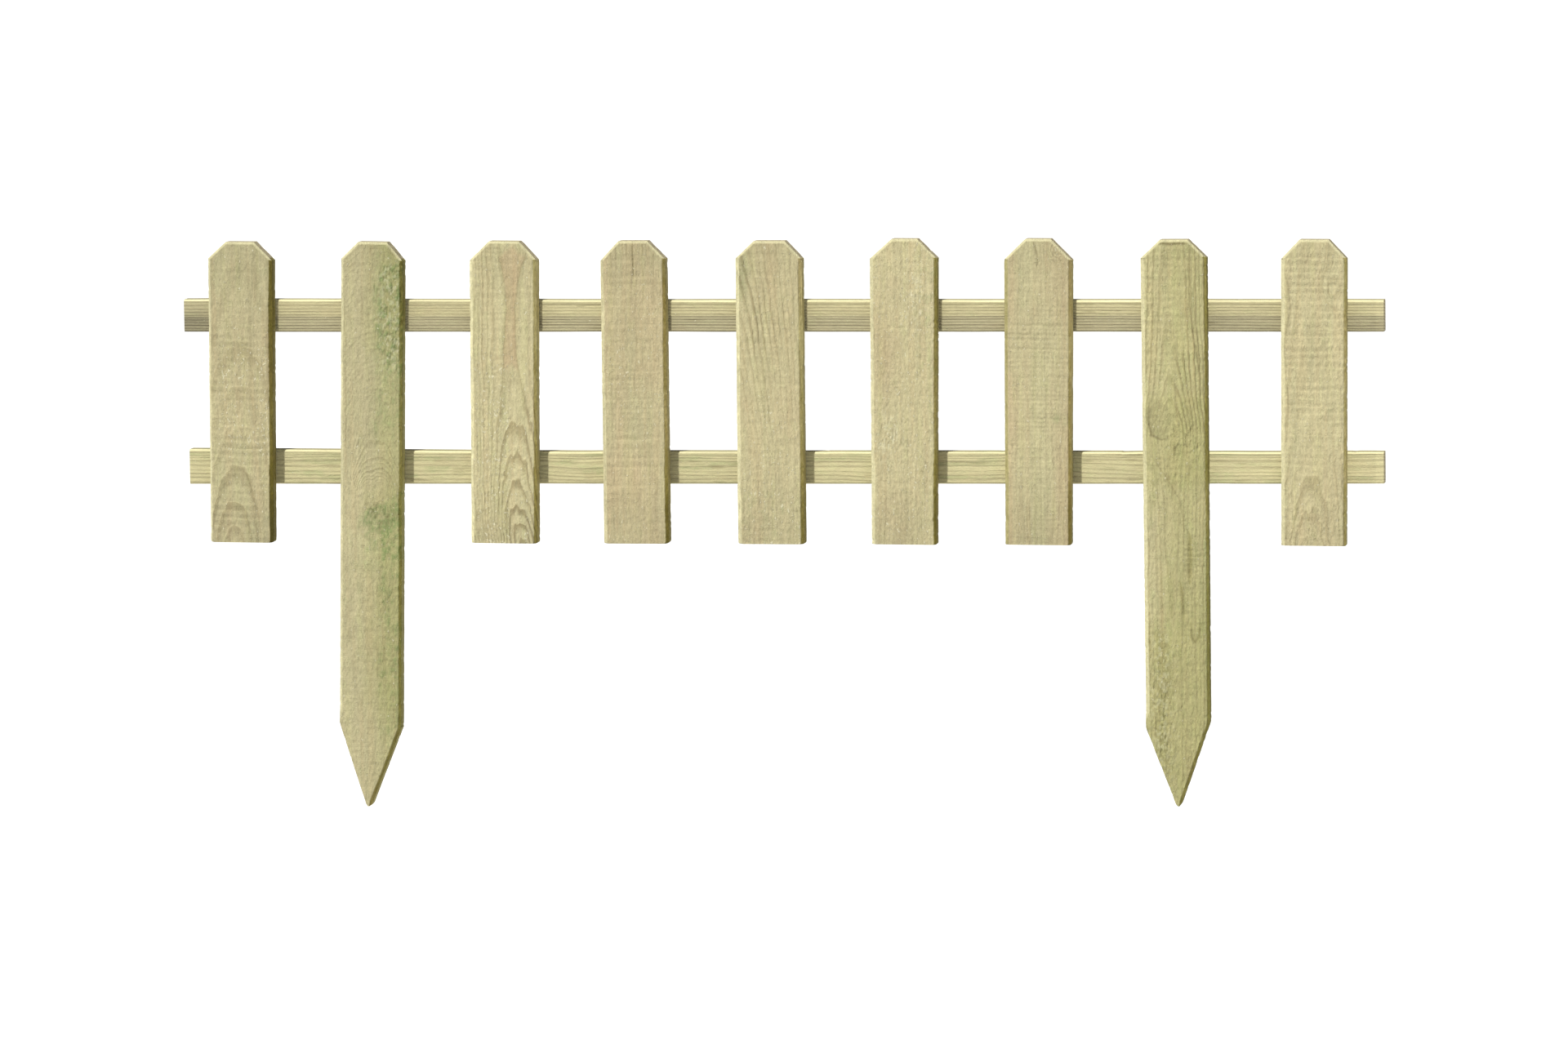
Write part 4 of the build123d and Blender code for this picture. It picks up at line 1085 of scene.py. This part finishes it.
def steel():
    """Galvanised wire, dulled and a little stained."""
    t = Tree("staple_wire")
    t.coords = t.add("ShaderNodeTexCoord").outputs["Object"]
    patches = t.noise(t.scaled([1.0, 1.0, 1.0]), 700.0, 3.0, 0.6)
    scratches = t.noise(t.scaled([0.15, 1.0, 1.0]), 2600.0, 2.0, 0.5)
    colour = t.mix("MIX", t.span(patches, 0.35, 0.65), (0.52, 0.52, 0.51, 1.0), (0.33, 0.31, 0.27, 1.0))
    shader = t.add("ShaderNodeBsdfPrincipled")
    t.put(shader.inputs["Base Color"], colour)
    shader.inputs["Metallic"].default_value = 0.9
    t.put(shader.inputs["Roughness"], t.span(scratches, 0.3, 0.7, 0.38, 0.62, smooth=False))
    bump = t.add("ShaderNodeBump")
    bump.inputs["Strength"].default_value = 0.3
    bump.inputs["Distance"].default_value = 0.00005
    t.put(bump.inputs["Height"], scratches)
    t.put(shader.inputs["Normal"], bump.outputs[0])
    out = t.add("ShaderNodeOutputMaterial")
    t.put(out.inputs["Surface"], shader.outputs[0])
    return t.material


PICKET = wood("picket_wood", 2, (0.402, 0.361, 0.204, 1.0), (0.245, 0.203, 0.102, 1.0), 0.55, 0.30)
RAIL = wood("rail_wood", 0, (0.420, 0.374, 0.208, 1.0), (0.225, 0.190, 0.106, 1.0), 0.85, 0.55)
STEEL = steel()

for board_name in BOARDS:
    board(board_name, PICKET)
for rail_name in RAILS:
    rail(rail_name, RAIL)
    staples(rail_name + "_staples", rail_name, STEEL)


# ------------------------------------------------------------- floor and light
def floor_material():
    t = Tree("pale_floor")
    shader = t.add("ShaderNodeBsdfPrincipled")
    shader.inputs["Base Color"].default_value = (0.9, 0.9, 0.9, 1.0)
    shader.inputs["Roughness"].default_value = 0.9
    shader.inputs["Specular IOR Level"].default_value = 0.1
    out = t.add("ShaderNodeOutputMaterial")
    t.put(out.inputs["Surface"], shader.outputs[0])
    return t.material


floor_mesh = bpy.data.meshes.new("floor")
FLOOR_Z = -0.2440
floor_mesh.from_pydata([(-40, -40, FLOOR_Z), (40, -40, FLOOR_Z), (40, 40, FLOOR_Z), (-40, 40, FLOOR_Z)], [], [(0, 1, 2, 3)])
floor_mesh.materials.append(floor_material())
floor = bpy.data.objects.new("floor", floor_mesh)
bpy.context.scene.collection.objects.link(floor)
floor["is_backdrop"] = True

world = bpy.data.worlds.new("studio")
bpy.context.scene.world = world
world.use_nodes = True
nodes, links = world.node_tree.nodes, world.node_tree.links
nodes.clear()
seen = nodes.new("ShaderNodeBackground")
seen.inputs["Color"].default_value = (1.0, 1.0, 1.0, 1.0)
seen.inputs["Strength"].default_value = 1.05
lit = nodes.new("ShaderNodeBackground")
lit.inputs["Color"].default_value = (1.0, 1.0, 1.0, 1.0)
lit.inputs["Strength"].default_value = 0.25
path = nodes.new("ShaderNodeLightPath")
pick = nodes.new("ShaderNodeMixShader")
links.new(path.outputs["Is Camera Ray"], pick.inputs[0])
links.new(lit.outputs[0], pick.inputs[1])
links.new(seen.outputs[0], pick.inputs[2])
links.new(pick.outputs[0], nodes.new("ShaderNodeOutputWorld").inputs[0])


def sun(name, azimuth, elevation, strength, angle):
    """A distant lamp. Azimuth 0 shines from the front; positive is the viewer's left."""
    lamp = bpy.data.lights.new(name, "SUN")
    lamp.energy = strength
    lamp.angle = math.radians(angle)
    made = bpy.data.objects.new(name, lamp)
    a, e = math.radians(azimuth), math.radians(elevation)
    towards = Vector((-math.sin(a) * math.cos(e), -math.cos(a) * math.cos(e), math.sin(e)))
    made.rotation_euler = towards.to_track_quat("Z", "Y").to_euler()
    made.location = towards * 3
    bpy.context.scene.collection.objects.link(made)
    return made


def shine_on(lamp, receivers, blockers=None):
    """Lets a lamp light only some pieces, and only some cast its shadows."""
    group = bpy.data.collections.new(lamp.name + "_lights")
    for piece in receivers:
        group.objects.link(piece)
    lamp.light_linking.receiver_collection = group
    if blockers is not None:
        casts = bpy.data.collections.new(lamp.name + "_blocked_by")
        for piece in blockers:
            casts.objects.link(piece)
        lamp.light_linking.blocker_collection = casts


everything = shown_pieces()
rails = {rail_name: bpy.data.objects[rail_name + "_wood"] for rail_name in RAILS}
shading = [piece for piece in everything if not piece.name.startswith(("stake_right", "picket_9"))]
shine_on(sun("key", 24, 50, 4.73, 2.5), [piece for piece in everything if piece not in rails.values()])
shine_on(sun("key_top_rail", 8, 50, 4.25, 2.5), [rails["top_rail"]], shading)
shine_on(sun("key_bottom_rail", 26, 50, 4.7, 2.5), [rails["bottom_rail"]], shading)
wash = sun("floor_wash", 24, 50, 4.6, 2.5)
wash.data.use_shadow = False
shine_on(wash, [floor])

# ---------------------------------------------------------------------- camera
AZ, EL, ROLL, DISTANCE = math.radians(9.6), math.radians(5.2), math.radians(0.715), 8.14
TARGET = Vector((0.3827, 0.009, 0.0191))
away = Vector((math.sin(AZ) * math.cos(EL), -math.cos(AZ) * math.cos(EL), math.sin(EL)))
right = Vector((0, 0, 1)).cross(away).normalized()
up = away.cross(right)
right, up = right * math.cos(ROLL) - up * math.sin(ROLL), right * math.sin(ROLL) + up * math.cos(ROLL)
camera_data = bpy.data.cameras.new("camera")
camera_data.sensor_width = 36.0
camera_data.lens = 36.0 * (DISTANCE / 0.7425e-3) / 1920.0
camera_data.clip_end = 200.0
camera = bpy.data.objects.new("camera", camera_data)
bpy.context.scene.collection.objects.link(camera)
place = TARGET + away * DISTANCE
camera.matrix_world = Matrix(((right.x, up.x, away.x, place.x), (right.y, up.y, away.y, place.y),
                              (right.z, up.z, away.z, place.z), (0, 0, 0, 1)))
bpy.context.scene.camera = camera
bpy.context.scene.view_settings.view_transform = "Standard"
